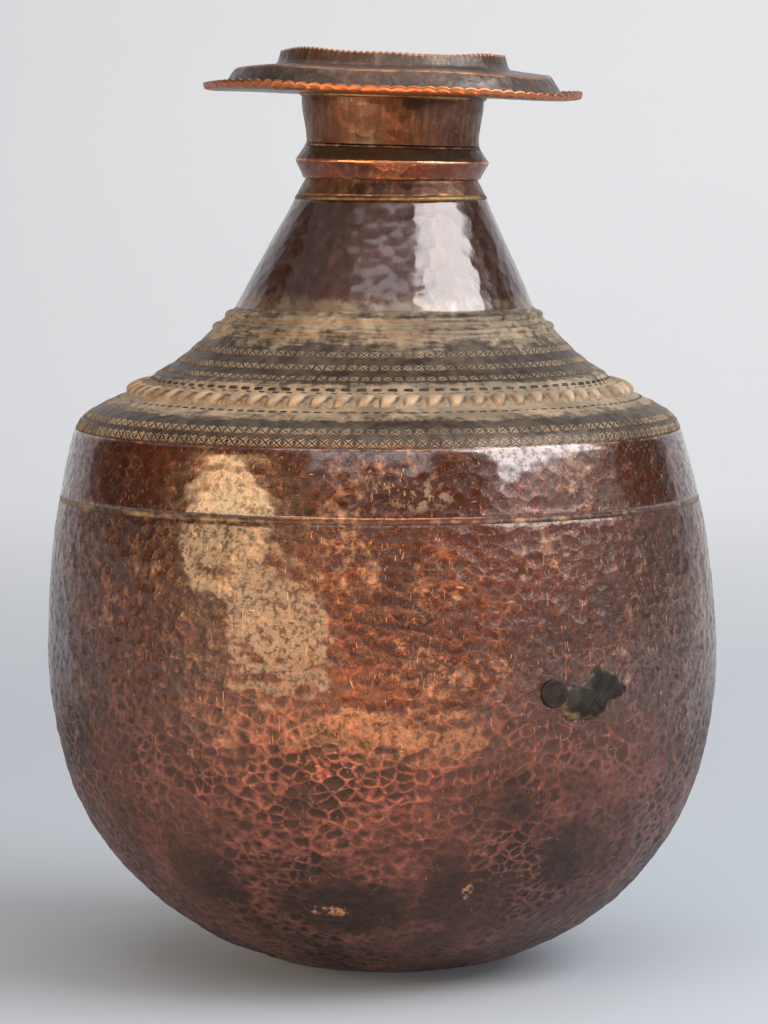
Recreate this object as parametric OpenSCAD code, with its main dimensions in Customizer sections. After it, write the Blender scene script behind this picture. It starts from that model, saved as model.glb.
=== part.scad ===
// Hammered copper water pot. A round bowl, a chased shoulder that runs up into a cone,
// a flared neck with a ridged band and a hollow stepped rim. Each is its own sheet of
// copper, and the sheets are lapped and brazed together.
// Millimetres, +Z up, origin at the centre of the flat spot that the pot stands on.

/* [Bowl] */
// Widest diameter of the belly
belly_d = 320; // [298:1:384]
// Height of the widest point above the foot
belly_h = 153; // [128:1:184]
// Diameter of the flat spot that the pot stands on
foot_d = 44; // [37:1:53]
// How far the foot runs out nearly flat before it turns up
foot_spread = 55; // [46:1:66]
// How far the belly stays nearly upright below its widest point
belly_drop = 112; // [93:1:122]
// Thickness of the copper sheet
wall = 1.2; // [1:0.1:1.5]

/* [Shoulder] */
// Height of the wall from the widest point to the shoulder edge
upper_wall_h = 105.5; // [88:0.5:127]
// Diameter at the shoulder edge
shoulder_d = 290.6; // [242:0.2:314]
// Height of the body seam below the shoulder edge
seam_below_edge = 30.5; // [25:0.5:37]
// Width of the domed slope inside the shoulder edge
lower_slope_w = 23.8; // [20:0.2:29]
// Rise of the domed slope
lower_slope_rise = 17.3; // [14.4:0.1:21]
// Width of the boss band
boss_w = 9.2; // [7.6:0.1:11.2]
// Rise of the boss band
boss_rise = 5.1; // [4.2:0.1:6.2]
// How far the boss band swells out of the slope
boss_swell = 1.3; // [1:0.1:1.6]
// Width of the step above the boss band
step_w = 5.3; // [4.4:0.1:6.4]
// Rise of the step above the boss band
step_rise = 5.2; // [4.3:0.1:6.3]
// Width of the hollow slope above the step
upper_slope_w = 24.5; // [20.4:0.1:29.5]
// Rise of the hollow slope
upper_slope_rise = 19.3; // [16:0.1:23.2]

/* [Cone] */
// Width of the strip that holds the two ridges
ridges_w = 11.4; // [9.5:0.1:13.7]
// Rise of the strip that holds the two ridges
ridges_rise = 11.6; // [9.6:0.1:14]
// Radius of each ridge
ridge_r = 2.2; // [1.8:0.1:2.7]
// Height of the cone above the ridges
cone_h = 54; // [45:0.5:65]

/* [Neck] */
// Outside diameter of the throat, under the band
throat_d = 82.4; // [68.6:0.2:99]
// How far the skirt over the cone spreads from the throat
skirt_w = 3.8; // [3.1:0.1:4.6]
// Height of the skirt
skirt_h = 7.6; // [6.3:0.1:9.2]
// Height of the ridged band
band_h = 14.9; // [12.4:0.1:17.9]
// How far the band's ridge stands out from the throat
band_w = 5.1; // [4.4:0.1:6.2]
// Share of the band's height that lies below its ridge
band_peak = 0.56; // [0.46:0.01:0.66]
// Height of the neck from the band to the brim
neck_h = 24.7; // [20.6:0.1:29.7]
// How far the neck spreads on its way up to the brim
neck_spread = 2.4; // [2:0.1:2.9]

/* [Rim] */
// Diameter over the turned-up lip of the brim
brim_d = 181.4; // [160:0.2:217]
// Height of the lip above the underside of the brim
lip_rise = 3.7; // [3.1:0.1:4.5]
// Width of the turned-up lip
lip_w = 5; // [4.2:0.1:6]
// Width of the brim outside the cap
channel_w = 9.9; // [8.2:0.1:11.9]
// Height of the cap's skirt
cap_skirt_h = 9.8; // [8.1:0.1:11.8]
// How far the cap's skirt leans in
cap_skirt_lean = 4.3; // [3.5:0.1:5.2]
// Rise of the cap's top from the skirt to the collar
cap_top_rise = 2.8; // [2.3:0.1:3.4]
// How far the mouth spreads from the top of the neck to the foot of the collar
mouth_spread = 11.3; // [9.4:0.1:13.6]
// Height of the mouth collar
collar_h = 6.2; // [5.1:0.1:7.5]
// How far the mouth collar leans in
collar_lean = 1.3; // [1:0.1:1.6]

/* [Joints] */
// Length over which one sheet lies inside the next
lap_w = 9; // [7.5:0.5:11]
// Space between lapped sheets, filled with braze
lap_gap = 0.2; // [0.15:0.05:0.3]
// Height of the step where a sheet goes under the next
joggle_h = 2.4; // [2:0.1:3]
// How far a brazed seam stands out of the sheet
seam_proud = 0.3; // [0.2:0.05:0.4]
// Leg of a brazed fillet
fillet_leg = 1.6; // [1.3:0.1:2]

/* [Repair] */
// Height of the repair above the foot
repair_h = 148; // [123:1:178]
// Angle of the repair round from the front of the pot
repair_angle = 29; // [24:0.5:35]
// Diameter of the soldered patch
patch_d = 13.4; // [11.2:0.2:16.2]
// How far the patch stands out of the belly
patch_proud = 1.4; // [1.2:0.1:1.7]
// How far the solder runs round the belly from the middle of the patch
solder_w = 46; // [39:0.5:55]
// Height of the solder
solder_h = 28; // [23.5:0.5:33.5]
// How far the solder stands out of the belly
solder_proud = 0.8; // [0.6:0.1:1]

/* [Hidden] */
$fn = 120;

copper = [0.45, 0.22, 0.15];
worn_copper = [0.62, 0.32, 0.20];
spelter = [0.68, 0.55, 0.33];
solder_grey = [0.24, 0.24, 0.23];

belly_r = belly_d / 2;
foot_r = foot_d / 2;
shoulder_r = shoulder_d / 2;
throat_r = throat_d / 2;
brim_r = brim_d / 2;

edge_z = belly_h + upper_wall_h;
seam_z = edge_z - seam_below_edge;
edge_round = 1.2;                           // breaks the sharp shoulder edge

boss_foot = [shoulder_r - lower_slope_w, edge_z + lower_slope_rise];
boss_top = boss_foot + [-boss_w, boss_rise];
step_top = boss_top + [-step_w, step_rise];
slope_top = step_top + [-upper_slope_w, upper_slope_rise];
cone_foot = slope_top + [-ridges_w, ridges_rise];

neck_z = cone_foot.y + cone_h;              // lower edge of the skirt over the cone
skirt_foot = [throat_r + skirt_w, neck_z];
throat_z = neck_z + skirt_h;
band_top_z = throat_z + band_h;
brim_z = band_top_z + neck_h;               // underside of the brim
neck_top_r = throat_r + neck_spread;

cap_z = brim_z + wall;                      // upper face of the brim, where the cap stands
cap_foot_r = brim_r - channel_w;
cap_foot_upright = 1.8;                     // the cap's foot stands upright before it leans in
cap_top = [cap_foot_r - cap_skirt_lean, cap_z + cap_skirt_h];
collar_foot = [neck_top_r + mouth_spread, cap_top.y + cap_top_rise];
collar_top = collar_foot + [-collar_lean, collar_h];

// ---- lines and sheets ----

function reversed(line) = [for (i = [len(line) - 1:-1:0]) line[i]];
function part_of(line, from, to) = [for (i = [from:to]) line[i]];
function unit(v) = v / norm(v);
function left_of(a, b) = let (d = unit(b - a)) [-d.y, d.x];

// A line moved sideways, mitred at its corners. The left of a line that starts at the
// foot and runs up the pot is the inside of the pot.
function beside(line, distance) = [
    for (i = [0:len(line) - 1])
        let (
            last = len(line) - 2,
            before = min(max(i - 1, 0), last),
            after = min(i, last),
            n1 = left_of(line[before], line[before + 1]),
            n2 = left_of(line[after], line[after + 1]),
            m = unit(n1 + n2)
        )
        line[i] + m * distance / (m * n2)
];

function bezier(a, b, c, d, steps) = [
    for (i = [0:steps])
        let (t = i / steps, s = 1 - t)
        pow(s, 3) * a + 3 * s * s * t * b + 3 * s * t * t * c + pow(t, 3) * d
];

// A solid ring of the given section.
module ring(section) {
    rotate_extrude()
        polygon(section);
}

// A sheet whose outer face is the line.
module sheet(line, thickness = wall) {
    ring(concat(line, reversed(beside(line, thickness))));
}

// ---- outer faces, from the foot to the mouth ----

bowl_steps = 22;
bowl_curve = bezier(
    [foot_r, 0], [foot_r + foot_spread, 0],
    [belly_r, belly_h - belly_drop], [belly_r, belly_h], bowl_steps
);

// The wall leans in more and more towards the shoulder edge.
function wall_at(z) = [belly_r - (belly_r - shoulder_r) * pow((z - belly_h) / upper_wall_h, 2), z];
function wall_line(from, to, steps) = [
    for (i = [0:steps]) wall_at(from + (to - from) * i / steps)
];

function ridge(centre, along, outward) = [
    for (angle = [-70:20:70])
        centre + ridge_r * ((cos(angle) - cos(70)) * outward + sin(angle) * along)
];

ridge_path = unit(cone_foot - slope_top);
ridge_out = [ridge_path.y, -ridge_path.x];
function ridge_place(share) = slope_top + (cone_foot - slope_top) * share;

// Sheets lap on straight runs of the line, which both sheets share point by point.
lap_steps = 2;
seam_lap = wall_line(seam_z, seam_z + lap_w, lap_steps);
edge_end = edge_z - edge_round;
upper_wall = wall_line(seam_z + lap_w, edge_end, 5);
lower_slope = bezier(
    [shoulder_r - edge_round, edge_z + edge_round],
    [shoulder_r - 0.1 * lower_slope_w, edge_z + 0.46 * lower_slope_rise],
    boss_foot + [0.45 * lower_slope_w, -0.24 * lower_slope_rise],
    boss_foot, 7
);
boss_out = unit([boss_rise, boss_w]) * boss_swell;
boss_line = [
    boss_foot + (boss_top - boss_foot) * 0.22 + boss_out * 0.8,
    boss_foot + (boss_top - boss_foot) * 0.5 + boss_out,
    boss_foot + (boss_top - boss_foot) * 0.78 + boss_out * 0.8,
    boss_top,
];
upper_slope = bezier(
    step_top,
    step_top + [-0.4 * upper_slope_w, 0.22 * upper_slope_rise],
    slope_top + [0.22 * upper_slope_w, -0.3 * upper_slope_rise],
    slope_top, 6
);
shoulder_line = concat(
    seam_lap,
    part_of(upper_wall, 1, len(upper_wall) - 1),
    [[shoulder_r - 0.3 * edge_round, edge_z + 0.3 * edge_round]],
    lower_slope, boss_line,
    [boss_top + [-0.43 * step_w, 0.25 * step_rise]],
    upper_slope,
    ridge(ridge_place(0.24), ridge_path, ridge_out),
    ridge(ridge_place(0.73), ridge_path, ridge_out),
    [cone_foot]
);

neck_line = concat(
    [
        skirt_foot,
        skirt_foot + [-0.45 * skirt_w, 0.45 * skirt_h],
        [throat_r + 0.15 * skirt_w, neck_z + 0.8 * skirt_h],
        [throat_r, throat_z],
        [throat_r, band_top_z],
    ],
    bezier(
        [throat_r, band_top_z + 0.08 * neck_h],
        [throat_r, band_top_z + 0.4 * neck_h],
        [neck_top_r, brim_z - 0.35 * neck_h],
        [neck_top_r, brim_z - fillet_leg], 6
    )
);

cap_line = [
    [cap_foot_r, cap_z],
    [cap_foot_r, cap_z + cap_foot_upright],
    cap_top - [0, 1.2],
    cap_top + [-1.4, 0.3],
    collar_foot + [1.2, -0.3],
    collar_foot + [0, 1.2],
    collar_top,
];

// Where one sheet goes under the next, it follows the next sheet's line from inside.
under = wall + lap_gap;
bowl_lap = part_of(beside(shoulder_line, under), 0, lap_steps);
seam_inside = part_of(beside(shoulder_line, wall), 0, lap_steps);
bowl_shoulder = wall_at(seam_z - joggle_h);
belly_wall = wall_line(belly_h, seam_z - joggle_h, 8);
belly_line = concat(bowl_curve, part_of(belly_wall, 1, len(belly_wall) - 1));
bowl_line = concat([[0, 0]], belly_line, bowl_lap);

skirt_last = 3;
cone_lap = part_of(beside(neck_line, under), 0, skirt_last);
skirt_inside = part_of(beside(neck_line, wall), 0, skirt_last);
cone_end = skirt_foot - unit(skirt_foot - cone_foot) * joggle_h;
upper_line = concat(shoulder_line, [cone_end], cone_lap);

collar_at = len(cap_line) - 2;
mouth_lap = part_of(beside(cap_line, under), collar_at, collar_at + 1);
collar_inside = part_of(beside(cap_line, wall), collar_at, collar_at + 1);
trumpet = bezier(
    [neck_top_r, cap_z],
    [neck_top_r + 0.2 * mouth_spread, cap_z + 0.45 * cap_skirt_h],
    mouth_lap[0] - [0.35 * mouth_spread, 0.3 * cap_skirt_h],
    mouth_lap[0], 6
);
tube_line = concat(neck_line, trumpet, [mouth_lap[1]]);

// ---- pieces ----

module base_bowl() {
    color(copper)
        sheet(bowl_line);
}

module upper_body() {
    color(copper)
        sheet(upper_line);
}

// Fills the lap and stands a little proud where the upper sheet's edge meets the bowl.
module body_braze() {
    proud = (bowl_shoulder + seam_lap[0]) / 2 + [seam_proud, 0];
    color(spelter)
        ring(concat(
            [bowl_shoulder], bowl_lap, reversed(seam_inside), [seam_lap[0], proud]
        ));
}

module neck_tube() {
    color(copper)
        sheet(tube_line);
}

module neck_braze() {
    proud = (cone_end + skirt_foot) / 2 + [seam_proud, 0];
    color(spelter)
        ring(concat(
            [cone_end], cone_lap, reversed(skirt_inside), [skirt_foot, proud]
        ));
}

// A strip folded along its middle and closed round the throat.
module neck_band() {
    ridge_z = throat_z + band_peak * band_h;
    fold = 1.3 * wall;
    color(worn_copper)
        ring([
            [throat_r, throat_z],
            [throat_r + wall, throat_z],
            [throat_r + band_w, ridge_z],
            [throat_r + 0.6 * wall, band_top_z],
            [throat_r, band_top_z],
            [throat_r, band_top_z - 2 * fold],
            [throat_r + band_w - fold, ridge_z],
            [throat_r, throat_z + fold],
        ]);
}

module band_braze() {
    color(spelter)
        ring([
            [throat_r, band_top_z],
            [throat_r + 0.6 * wall, band_top_z],
            [throat_r, band_top_z + 0.06 * neck_h],
        ]);
}

module brim_plate() {
    hole_r = neck_top_r + lap_gap;
    color(worn_copper)
        sheet([
            [hole_r, brim_z],
            [brim_r - lip_w, brim_z],
            [brim_r - 0.45 * lip_w, brim_z + 0.12 * lip_rise],
            [brim_r - 0.12 * lip_w, brim_z + 0.45 * lip_rise],
            [brim_r, brim_z + lip_rise],
        ]);
}

module brim_braze() {
    hole_r = neck_top_r + lap_gap;
    color(spelter)
        ring([
            [neck_top_r, brim_z - fillet_leg],
            [hole_r + fillet_leg, brim_z],
            [hole_r, brim_z],
            [hole_r, cap_z],
            [neck_top_r, cap_z],
        ]);
}

module rim_cap() {
    color(worn_copper)
        sheet(cap_line);
}

module cap_braze() {
    color(spelter)
        ring([
            [cap_foot_r, cap_z],
            [cap_foot_r + fillet_leg, cap_z],
            [cap_foot_r, cap_z + fillet_leg],
        ]);
}

// Fills the lap between the collar and the neck tube that runs up inside it.
module mouth_braze() {
    color(spelter)
        ring(concat(mouth_lap, reversed(collar_inside)));
}

// A skin of the given thickness on the outside of the belly, where the repair is.
module belly_skin(thickness) {
    reach = patch_d + solder_h;
    sheet(
        [for (p = belly_line) if (abs(p.y - repair_h) < reach) p],
        -thickness
    );
}

// Stands a flat outline on the belly at the repair and runs it through the sheet.
module toward_repair() {
    rotate([0, 0, repair_angle - 90])
        translate([0, 0, repair_h])
            rotate([0, 90, 0])
                linear_extrude(height = 1.3 * belly_r)
                    children();
}

module patch_outline() {
    circle(d = patch_d);
}

// Shares of the solder's width round the pot and of its height, from the patch's middle.
module solder_outline() {
    blob = [
        [0.1, 0], [0.17, 0.11], [0.32, 0.08], [0.44, 0.2], [0.53, 0.35], [0.57, 0.52],
        [0.61, 0.37], [0.75, 0.31], [0.83, 0.24], [0.86, 0.09], [0.97, 0.05], [1, -0.05],
        [0.86, -0.16], [0.71, -0.19], [0.65, -0.44], [0.53, -0.48], [0.37, -0.46],
        [0.21, -0.48], [0.15, -0.33], [0.07, -0.15],
    ];
    polygon([for (p = blob) [-p.y * solder_h, p.x * solder_w]]);
}

module repair_patch() {
    color(solder_grey)
        intersection() {
            belly_skin(patch_proud);
            toward_repair()
                patch_outline();
        }
}

module repair_solder() {
    color(solder_grey)
        intersection() {
            belly_skin(solder_proud);
            toward_repair()
                difference() {
                    solder_outline();
                    patch_outline();
                }
        }
}

base_bowl();
upper_body();
body_braze();
neck_tube();
neck_braze();
neck_band();
band_braze();
brim_plate();
brim_braze();
rim_cap();
cap_braze();
mouth_braze();
repair_patch();
repair_solder();
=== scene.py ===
"""A large hammered copper water pot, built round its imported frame.

Each copper sheet, braze and repair piece is made again here with its hammer marks, chased
rows, scalloped edges and handmade lean, and rides on the pot's one body. Lengths are metres.
"""

import math

import bpy
import numpy as np
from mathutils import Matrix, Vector


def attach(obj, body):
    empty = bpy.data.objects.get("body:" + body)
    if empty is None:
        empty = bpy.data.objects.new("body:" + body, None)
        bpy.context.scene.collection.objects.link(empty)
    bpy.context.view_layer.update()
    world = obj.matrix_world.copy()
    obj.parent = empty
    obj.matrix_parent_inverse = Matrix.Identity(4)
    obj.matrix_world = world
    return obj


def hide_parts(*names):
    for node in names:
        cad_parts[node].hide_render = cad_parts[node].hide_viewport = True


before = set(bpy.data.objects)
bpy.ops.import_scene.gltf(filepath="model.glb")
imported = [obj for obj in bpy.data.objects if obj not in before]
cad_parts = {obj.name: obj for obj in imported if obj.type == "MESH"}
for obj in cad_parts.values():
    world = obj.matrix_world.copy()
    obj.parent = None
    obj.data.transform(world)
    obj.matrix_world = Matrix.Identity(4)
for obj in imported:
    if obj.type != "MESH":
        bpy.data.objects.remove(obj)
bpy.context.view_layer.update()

bl_info = {
    "name": "Hammered Copper Water Pot",
    "version": (1, 0, 0),
    "blender": (4, 5, 0),
    "location": "View3D > Sidebar > Water Pot",
    "description": "Makes a hammered copper water pot with a chased shoulder and a stepped rim",
    "category": "Add Mesh",
}

MM = 0.001


# ---------------------------------------------------------------- settings


def length_setting(name, description, default):
    return bpy.props.FloatProperty(
        name=name, description=description, default=default, precision=5, unit="LENGTH")


def colour_setting(name, description, default):
    return bpy.props.FloatVectorProperty(
        name=name, description=description, default=default, min=0, max=1, subtype="COLOR")


class PotShape(bpy.types.PropertyGroup):
    """Sizes of the marks and edges that the frame does not hold"""

    mark_size: length_setting("Hammer Mark", "Distance between hammer marks on the belly", 0.0066)
    mark_depth: length_setting("Mark Depth", "Depth of a hammer mark low on the belly", 0.00030)
    cross_size: length_setting("Cross", "Width of a punched cross", 0.0053)
    cross_pitch: length_setting("Cross Spacing", "Distance from one cross to the next", 0.0053)
    boss_count: bpy.props.IntProperty(
        name="Bosses", description="Number of bosses round the shoulder", default=70)
    scallop_count: bpy.props.IntProperty(
        name="Scallops", description="Number of scallops round the brim's lip", default=84)
    scallop_depth: length_setting("Scallop Depth", "Height of a scallop on the brim's lip", 0.0013)
    lean: length_setting("Lean", "How far the neck stands off the belly's axis", 0.0042)
    rim_tilt: bpy.props.FloatProperty(
        name="Rim Tilt", description="How far the rim tips over to one side",
        default=math.radians(1.7), subtype="ANGLE",
    )


class PotFinish(bpy.types.PropertyGroup):
    """Colours of the copper, its patina and what has settled on it"""

    copper: colour_setting("Copper", "Copper rubbed bright", (0.80, 0.34, 0.17))
    # Mauve: rubbed copper low on the belly, its paleness there partly a painted reflection of the
    # pale floor.
    mauve: colour_setting("Rubbed Patina", "High places low on the belly", (0.29, 0.128, 0.106))
    red_brown: colour_setting("Red Patina", "Glossy red-brown oxide", (0.090, 0.024, 0.011))
    dark_brown: colour_setting("Dark Patina", "Nearly black oxide", (0.028, 0.016, 0.012))
    residue: colour_setting(
        "Residue", "Pale polish and dust left in the marks", (0.37, 0.275, 0.178),
    )
    spelter: colour_setting("Spelter", "Brass that the sheets are brazed with", (0.42, 0.29, 0.13))
    solder: colour_setting("Solder", "Old lead solder", (0.017, 0.016, 0.016))
    backdrop: colour_setting("Backdrop", "Paper behind and under the pot", (0.73, 0.735, 0.755))


# ---------------------------------------------------------------- outlines, in millimetres
# Each line runs up the outside of the pot. The frame's CAD pieces have the same lines.

WALL = 1.2
LAP_GAP = 0.2
UNDER = WALL + LAP_GAP
JOGGLE = 2.4
BELLY_R, BELLY_Z = 160.0, 153.0
EDGE_R, EDGE_Z = 145.3, 258.5
SEAM_Z = 228.0
BOSS_FOOT = np.array([121.5, 275.8])
BOSS_TOP = BOSS_FOOT + [-9.2, 5.1]
STEP_TOP = BOSS_TOP + [-5.3, 5.2]
SLOPE_TOP = STEP_TOP + [-24.5, 19.3]
CONE_FOOT = SLOPE_TOP + [-11.4, 11.6]
NECK_Z = CONE_FOOT[1] + 54.0
THROAT_R, THROAT_Z = 41.2, NECK_Z + 7.6
BAND_Z = THROAT_Z + 14.9
BRIM_Z = BAND_Z + 24.7
NECK_R = THROAT_R + 2.4
CAP_Z = BRIM_Z + WALL
BRIM_R = 90.7
CAP_R = BRIM_R - 9.9
CAP_TOP = np.array([CAP_R - 4.3, CAP_Z + 9.8])
COLLAR_FOOT = np.array([NECK_R + 11.3, CAP_TOP[1] + 2.8])
COLLAR_TOP = COLLAR_FOOT + [-1.3, 6.2]
MOUTH_SCALLOPS = 110
SHARP_BEND = 9.0
PATCH_R = 6.7
SOLDER_WIDTH, SOLDER_HEIGHT, SOLDER_SHIFT = 46, 28, 2.2

# Points around each turned sheet, with every piece kept under 200,000 triangles.
BELLY_SIDES, NECK_SIDES, BRIM_SIDES, CAP_SIDES = 480, 256, 1008, 880


def curve(a, b, c, d, steps):
    """Points along a Bezier curve."""
    t = np.linspace(0, 1, steps + 1)[:, None]
    a, b, c, d = (np.array(p, float) for p in (a, b, c, d))
    return (1 - t) ** 3 * a + 3 * (1 - t) ** 2 * t * b + 3 * (1 - t) * t * t * c + t**3 * d


def beside(line, distance):
    """The line moved towards the inside of the pot, mitred at its corners."""
    p = np.array(line, float)
    d = np.diff(p, axis=0)
    d /= np.linalg.norm(d, axis=1)[:, None]
    n = np.stack([-d[:, 1], d[:, 0]], 1)
    n1 = np.vstack([n[:1], n])
    n2 = np.vstack([n, n[-1:]])
    m = n1 + n2
    m /= np.linalg.norm(m, axis=1)[:, None]
    return p + m * (distance / (m * n2).sum(1))[:, None]


def spaced(line, step):
    """The line with its sharp bends kept, and points no more than step apart between them."""
    line = np.array(line, float)
    line = line[np.append(True, np.linalg.norm(np.diff(line, axis=0), axis=1) > 1e-6)]
    way = np.diff(line, axis=0)
    heading = np.degrees(np.arctan2(way[:, 1], way[:, 0]))
    turned_by = np.abs((np.diff(heading) + 180) % 360 - 180)
    kept = [0] + [i + 1 for i, angle in enumerate(turned_by) if angle > SHARP_BEND] + [len(line) - 1]
    along = np.append(0, np.cumsum(np.linalg.norm(way, axis=1)))
    out = [0.0]
    for a, b in zip(along[kept[:-1]], along[kept[1:]]):
        n = max(1, int(math.ceil((b - a) / step)))
        out += [a + (b - a) * i / n for i in range(1, n + 1)]
    return np.stack([np.interp(out, along, line[:, 0]), np.interp(out, along, line[:, 1])], 1)


def wall_at(z):
    return [BELLY_R - (BELLY_R - EDGE_R) * ((z - BELLY_Z) / (EDGE_Z - BELLY_Z)) ** 2, z]


def wall_line(low, high, steps):
    return np.array([wall_at(low + (high - low) * i / steps) for i in range(steps + 1)])


def ridge(share):
    along = (CONE_FOOT - SLOPE_TOP) / np.linalg.norm(CONE_FOOT - SLOPE_TOP)
    out = np.array([along[1], -along[0]])
    centre = SLOPE_TOP + (CONE_FOOT - SLOPE_TOP) * share
    turn = np.radians(np.arange(-70, 71, 20))
    height = np.cos(turn) - math.cos(math.radians(70))
    return centre + 2.2 * (height[:, None] * out + np.sin(turn)[:, None] * along)


def boss_swell():
    out = np.array([5.1, 9.2]) / math.hypot(5.1, 9.2) * 1.3
    across = BOSS_TOP - BOSS_FOOT
    return np.array(
        [BOSS_FOOT + across * s + out * k for s, k in ((0.22, 0.8), (0.5, 1), (0.78, 0.8))]
    )


SHOULDER = np.vstack([
    wall_line(SEAM_Z, 237.0, 2),
    wall_line(237.0, EDGE_Z - 1.2, 5)[1:],
    [[EDGE_R - 0.36, EDGE_Z + 0.36]],
    curve([EDGE_R - 1.2, EDGE_Z + 1.2], [EDGE_R - 2.38, EDGE_Z + 7.96],
          BOSS_FOOT + [10.71, -4.15], BOSS_FOOT, 14),
    boss_swell(), [BOSS_TOP], [BOSS_TOP + [-2.28, 1.3]],
    curve(STEP_TOP, STEP_TOP + [-9.8, 4.25], SLOPE_TOP + [5.39, -5.79], SLOPE_TOP, 12),
    ridge(0.24), ridge(0.73), [CONE_FOOT],
])
NECK = np.vstack([
    [[THROAT_R + 3.8, NECK_Z], [THROAT_R + 2.09, NECK_Z + 3.42]],
    [[THROAT_R + 0.57, NECK_Z + 6.08], [THROAT_R, THROAT_Z], [THROAT_R, BAND_Z]],
    curve([THROAT_R, BAND_Z + 2], [THROAT_R, BAND_Z + 9.9],
          [NECK_R, BRIM_Z - 8.6], [NECK_R, BRIM_Z - 1.6], 8),
])
CAP = np.array([
    [CAP_R, CAP_Z], [CAP_R, CAP_Z + 1.8], CAP_TOP - [0, 1.2], CAP_TOP + [-1.4, 0.3],
    COLLAR_FOOT + [1.2, -0.3], COLLAR_FOOT + [0, 1.2], COLLAR_TOP,
])
BOWL_WALL = np.vstack([
    curve([22, 0], [77, 0], [BELLY_R, 41], [BELLY_R, BELLY_Z], 90),
    wall_line(BELLY_Z, SEAM_Z - JOGGLE, 30)[1:],
])
BOWL_LAP = beside(SHOULDER, UNDER)[:3]
CONE_END = NECK[0] - (NECK[0] - CONE_FOOT) / np.linalg.norm(NECK[0] - CONE_FOOT) * JOGGLE
CONE_LAP = beside(NECK, UNDER)[:4]
MOUTH_LAP = beside(CAP, UNDER)[-2:]
BRIM = np.array([
    [NECK_R + LAP_GAP, BRIM_Z], [BRIM_R - 5, BRIM_Z], [BRIM_R - 2.25, BRIM_Z + 0.44],
    [BRIM_R - 0.6, BRIM_Z + 1.67], [BRIM_R, BRIM_Z + 3.7],
])


def on_line(line, z):
    """The radius and the outward normal's elevation where a line crosses a height."""
    for a, b in zip(line[:-1], line[1:]):
        if min(a[1], b[1]) <= z <= max(a[1], b[1]) and b[1] != a[1]:
            t = (z - a[1]) / (b[1] - a[1])
            return a[0] + (b[0] - a[0]) * t, math.atan2(-(b[0] - a[0]), b[1] - a[1])
    raise ValueError(f"no point of the line is {z} mm up")


# ---------------------------------------------------------------- meshes


def ease(x, low, high):
    t = np.clip((x - low) / (high - low), 0, 1)
    return t * t * (3 - 2 * t)


def peak_at(x, place, width):
    """One at a place, and less on both sides of it within a width."""
    return np.exp(-(((x - place) / width) ** 2))


def handmade(co):
    """Moves points as the pot leans and wavers: nothing on it is quite round or upright."""
    shape = bpy.context.scene.pot_shape
    co = np.array(co, float)
    x, y, z = co.T
    turn = np.arctan2(y, x)
    r = np.hypot(x, y)
    up = z / MM
    wave = (0.9 * np.sin(2 * turn + 0.7) + 0.6 * np.sin(3 * turn + 2.1 + up / 90)) * MM
    wave *= ease(up, 10, 90) * (1 - ease(up, 330, 372))
    grow = 1 + wave / np.maximum(r, 0.02)
    x, y = x * grow, y * grow
    knots = [0, 50, 110, 160, 230, 258, 280, 312, 345, 372, 392, 440]
    shifts = [0.4, 0.6, 0.1, -0.2, -1.6, -2.3, -1.4, 0.3, 1.9, 3.4, 4.2, 4.3]
    x = x + np.interp(up, knots, shifts) / 4.2 * shape.lean
    tip = ease(up, 362, 402) * math.tan(shape.rim_tilt)
    z = z - tip * co[:, 0]
    rim = ease(up, 412, 424) * ease(r, 0.04, 0.09)
    z = z + rim * (0.9 * np.sin(2 * turn - 0.4) + 0.6 * np.sin(5 * turn + 1.1)) * MM
    mouth = ease(up, 429, 438) * (1 - ease(r, 0.056, 0.062))
    z = z + mouth * (0.7 * np.sin(3 * turn + 2.6) + 0.35 * np.sin(7 * turn)) * MM
    return np.stack([x, y, z], 1)


def new_object(name, points, faces, masks=(), lean=True):
    """A smooth mesh with its masks, leaning and dented by hand unless told not to be."""
    mesh = bpy.data.meshes.new(name)
    points = handmade(points) if lean else points
    mesh.from_pydata([tuple(p) for p in points], [], [tuple(f) for f in faces])
    for mask, values in dict(masks).items():
        attribute = mesh.attributes.new(mask, "FLOAT", "POINT")
        attribute.data.foreach_set("value", np.array(values, np.float32))
    mesh.shade_smooth()
    mesh.validate()
    obj = bpy.data.objects.new(name, mesh)
    bpy.context.scene.collection.objects.link(obj)
    return obj


def turned(name, outline, around, masks=()):
    """A closed ring, or a closed bowl if its outline starts and ends on the axis, in metres."""
    line = np.array(outline, float) * MM
    n = len(line)
    ahead = np.roll(line, -1, axis=0)
    if (line[:, 0] * ahead[:, 1] - ahead[:, 0] * line[:, 1]).sum() < 0:
        line = line[::-1]
    poles = line[0, 0] < 1e-9
    turn = np.arange(around) * 2 * math.pi / around
    grid = np.stack([
        line[:, 0][:, None] * np.cos(turn), line[:, 0][:, None] * np.sin(turn),
        np.repeat(line[:, 1][:, None], around, 1),
    ], 2)
    j = np.arange(around)
    k = (j + 1) % around
    if poles:
        points = np.vstack([grid[0, :1], grid[1:-1].reshape(-1, 3), grid[-1, :1]])
        last = len(points) - 1
        rows = [1 + i * around for i in range(n - 2)]
        faces = [(0, rows[0] + b, rows[0] + a) for a, b in zip(j, k)]
        for low, high in zip(rows[:-1], rows[1:]):
            faces += list(zip(low + j, low + k, high + k, high + j))
        faces += [(rows[-1] + a, rows[-1] + b, last) for a, b in zip(j, k)]
        spread = lambda v: np.concatenate([v[:1], np.repeat(v[1:-1], around), v[-1:]])
    else:
        points = grid.reshape(-1, 3)
        faces = []
        for i in range(n):
            low, high = i * around, ((i + 1) % n) * around
            faces += list(zip(low + j, low + k, high + k, high + j))
        spread = lambda v: np.repeat(v, around)
    masks = {m: spread(np.array(v, float)) for m, v in dict(masks).items()}
    return new_object(name, points, faces, masks=masks)


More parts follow.
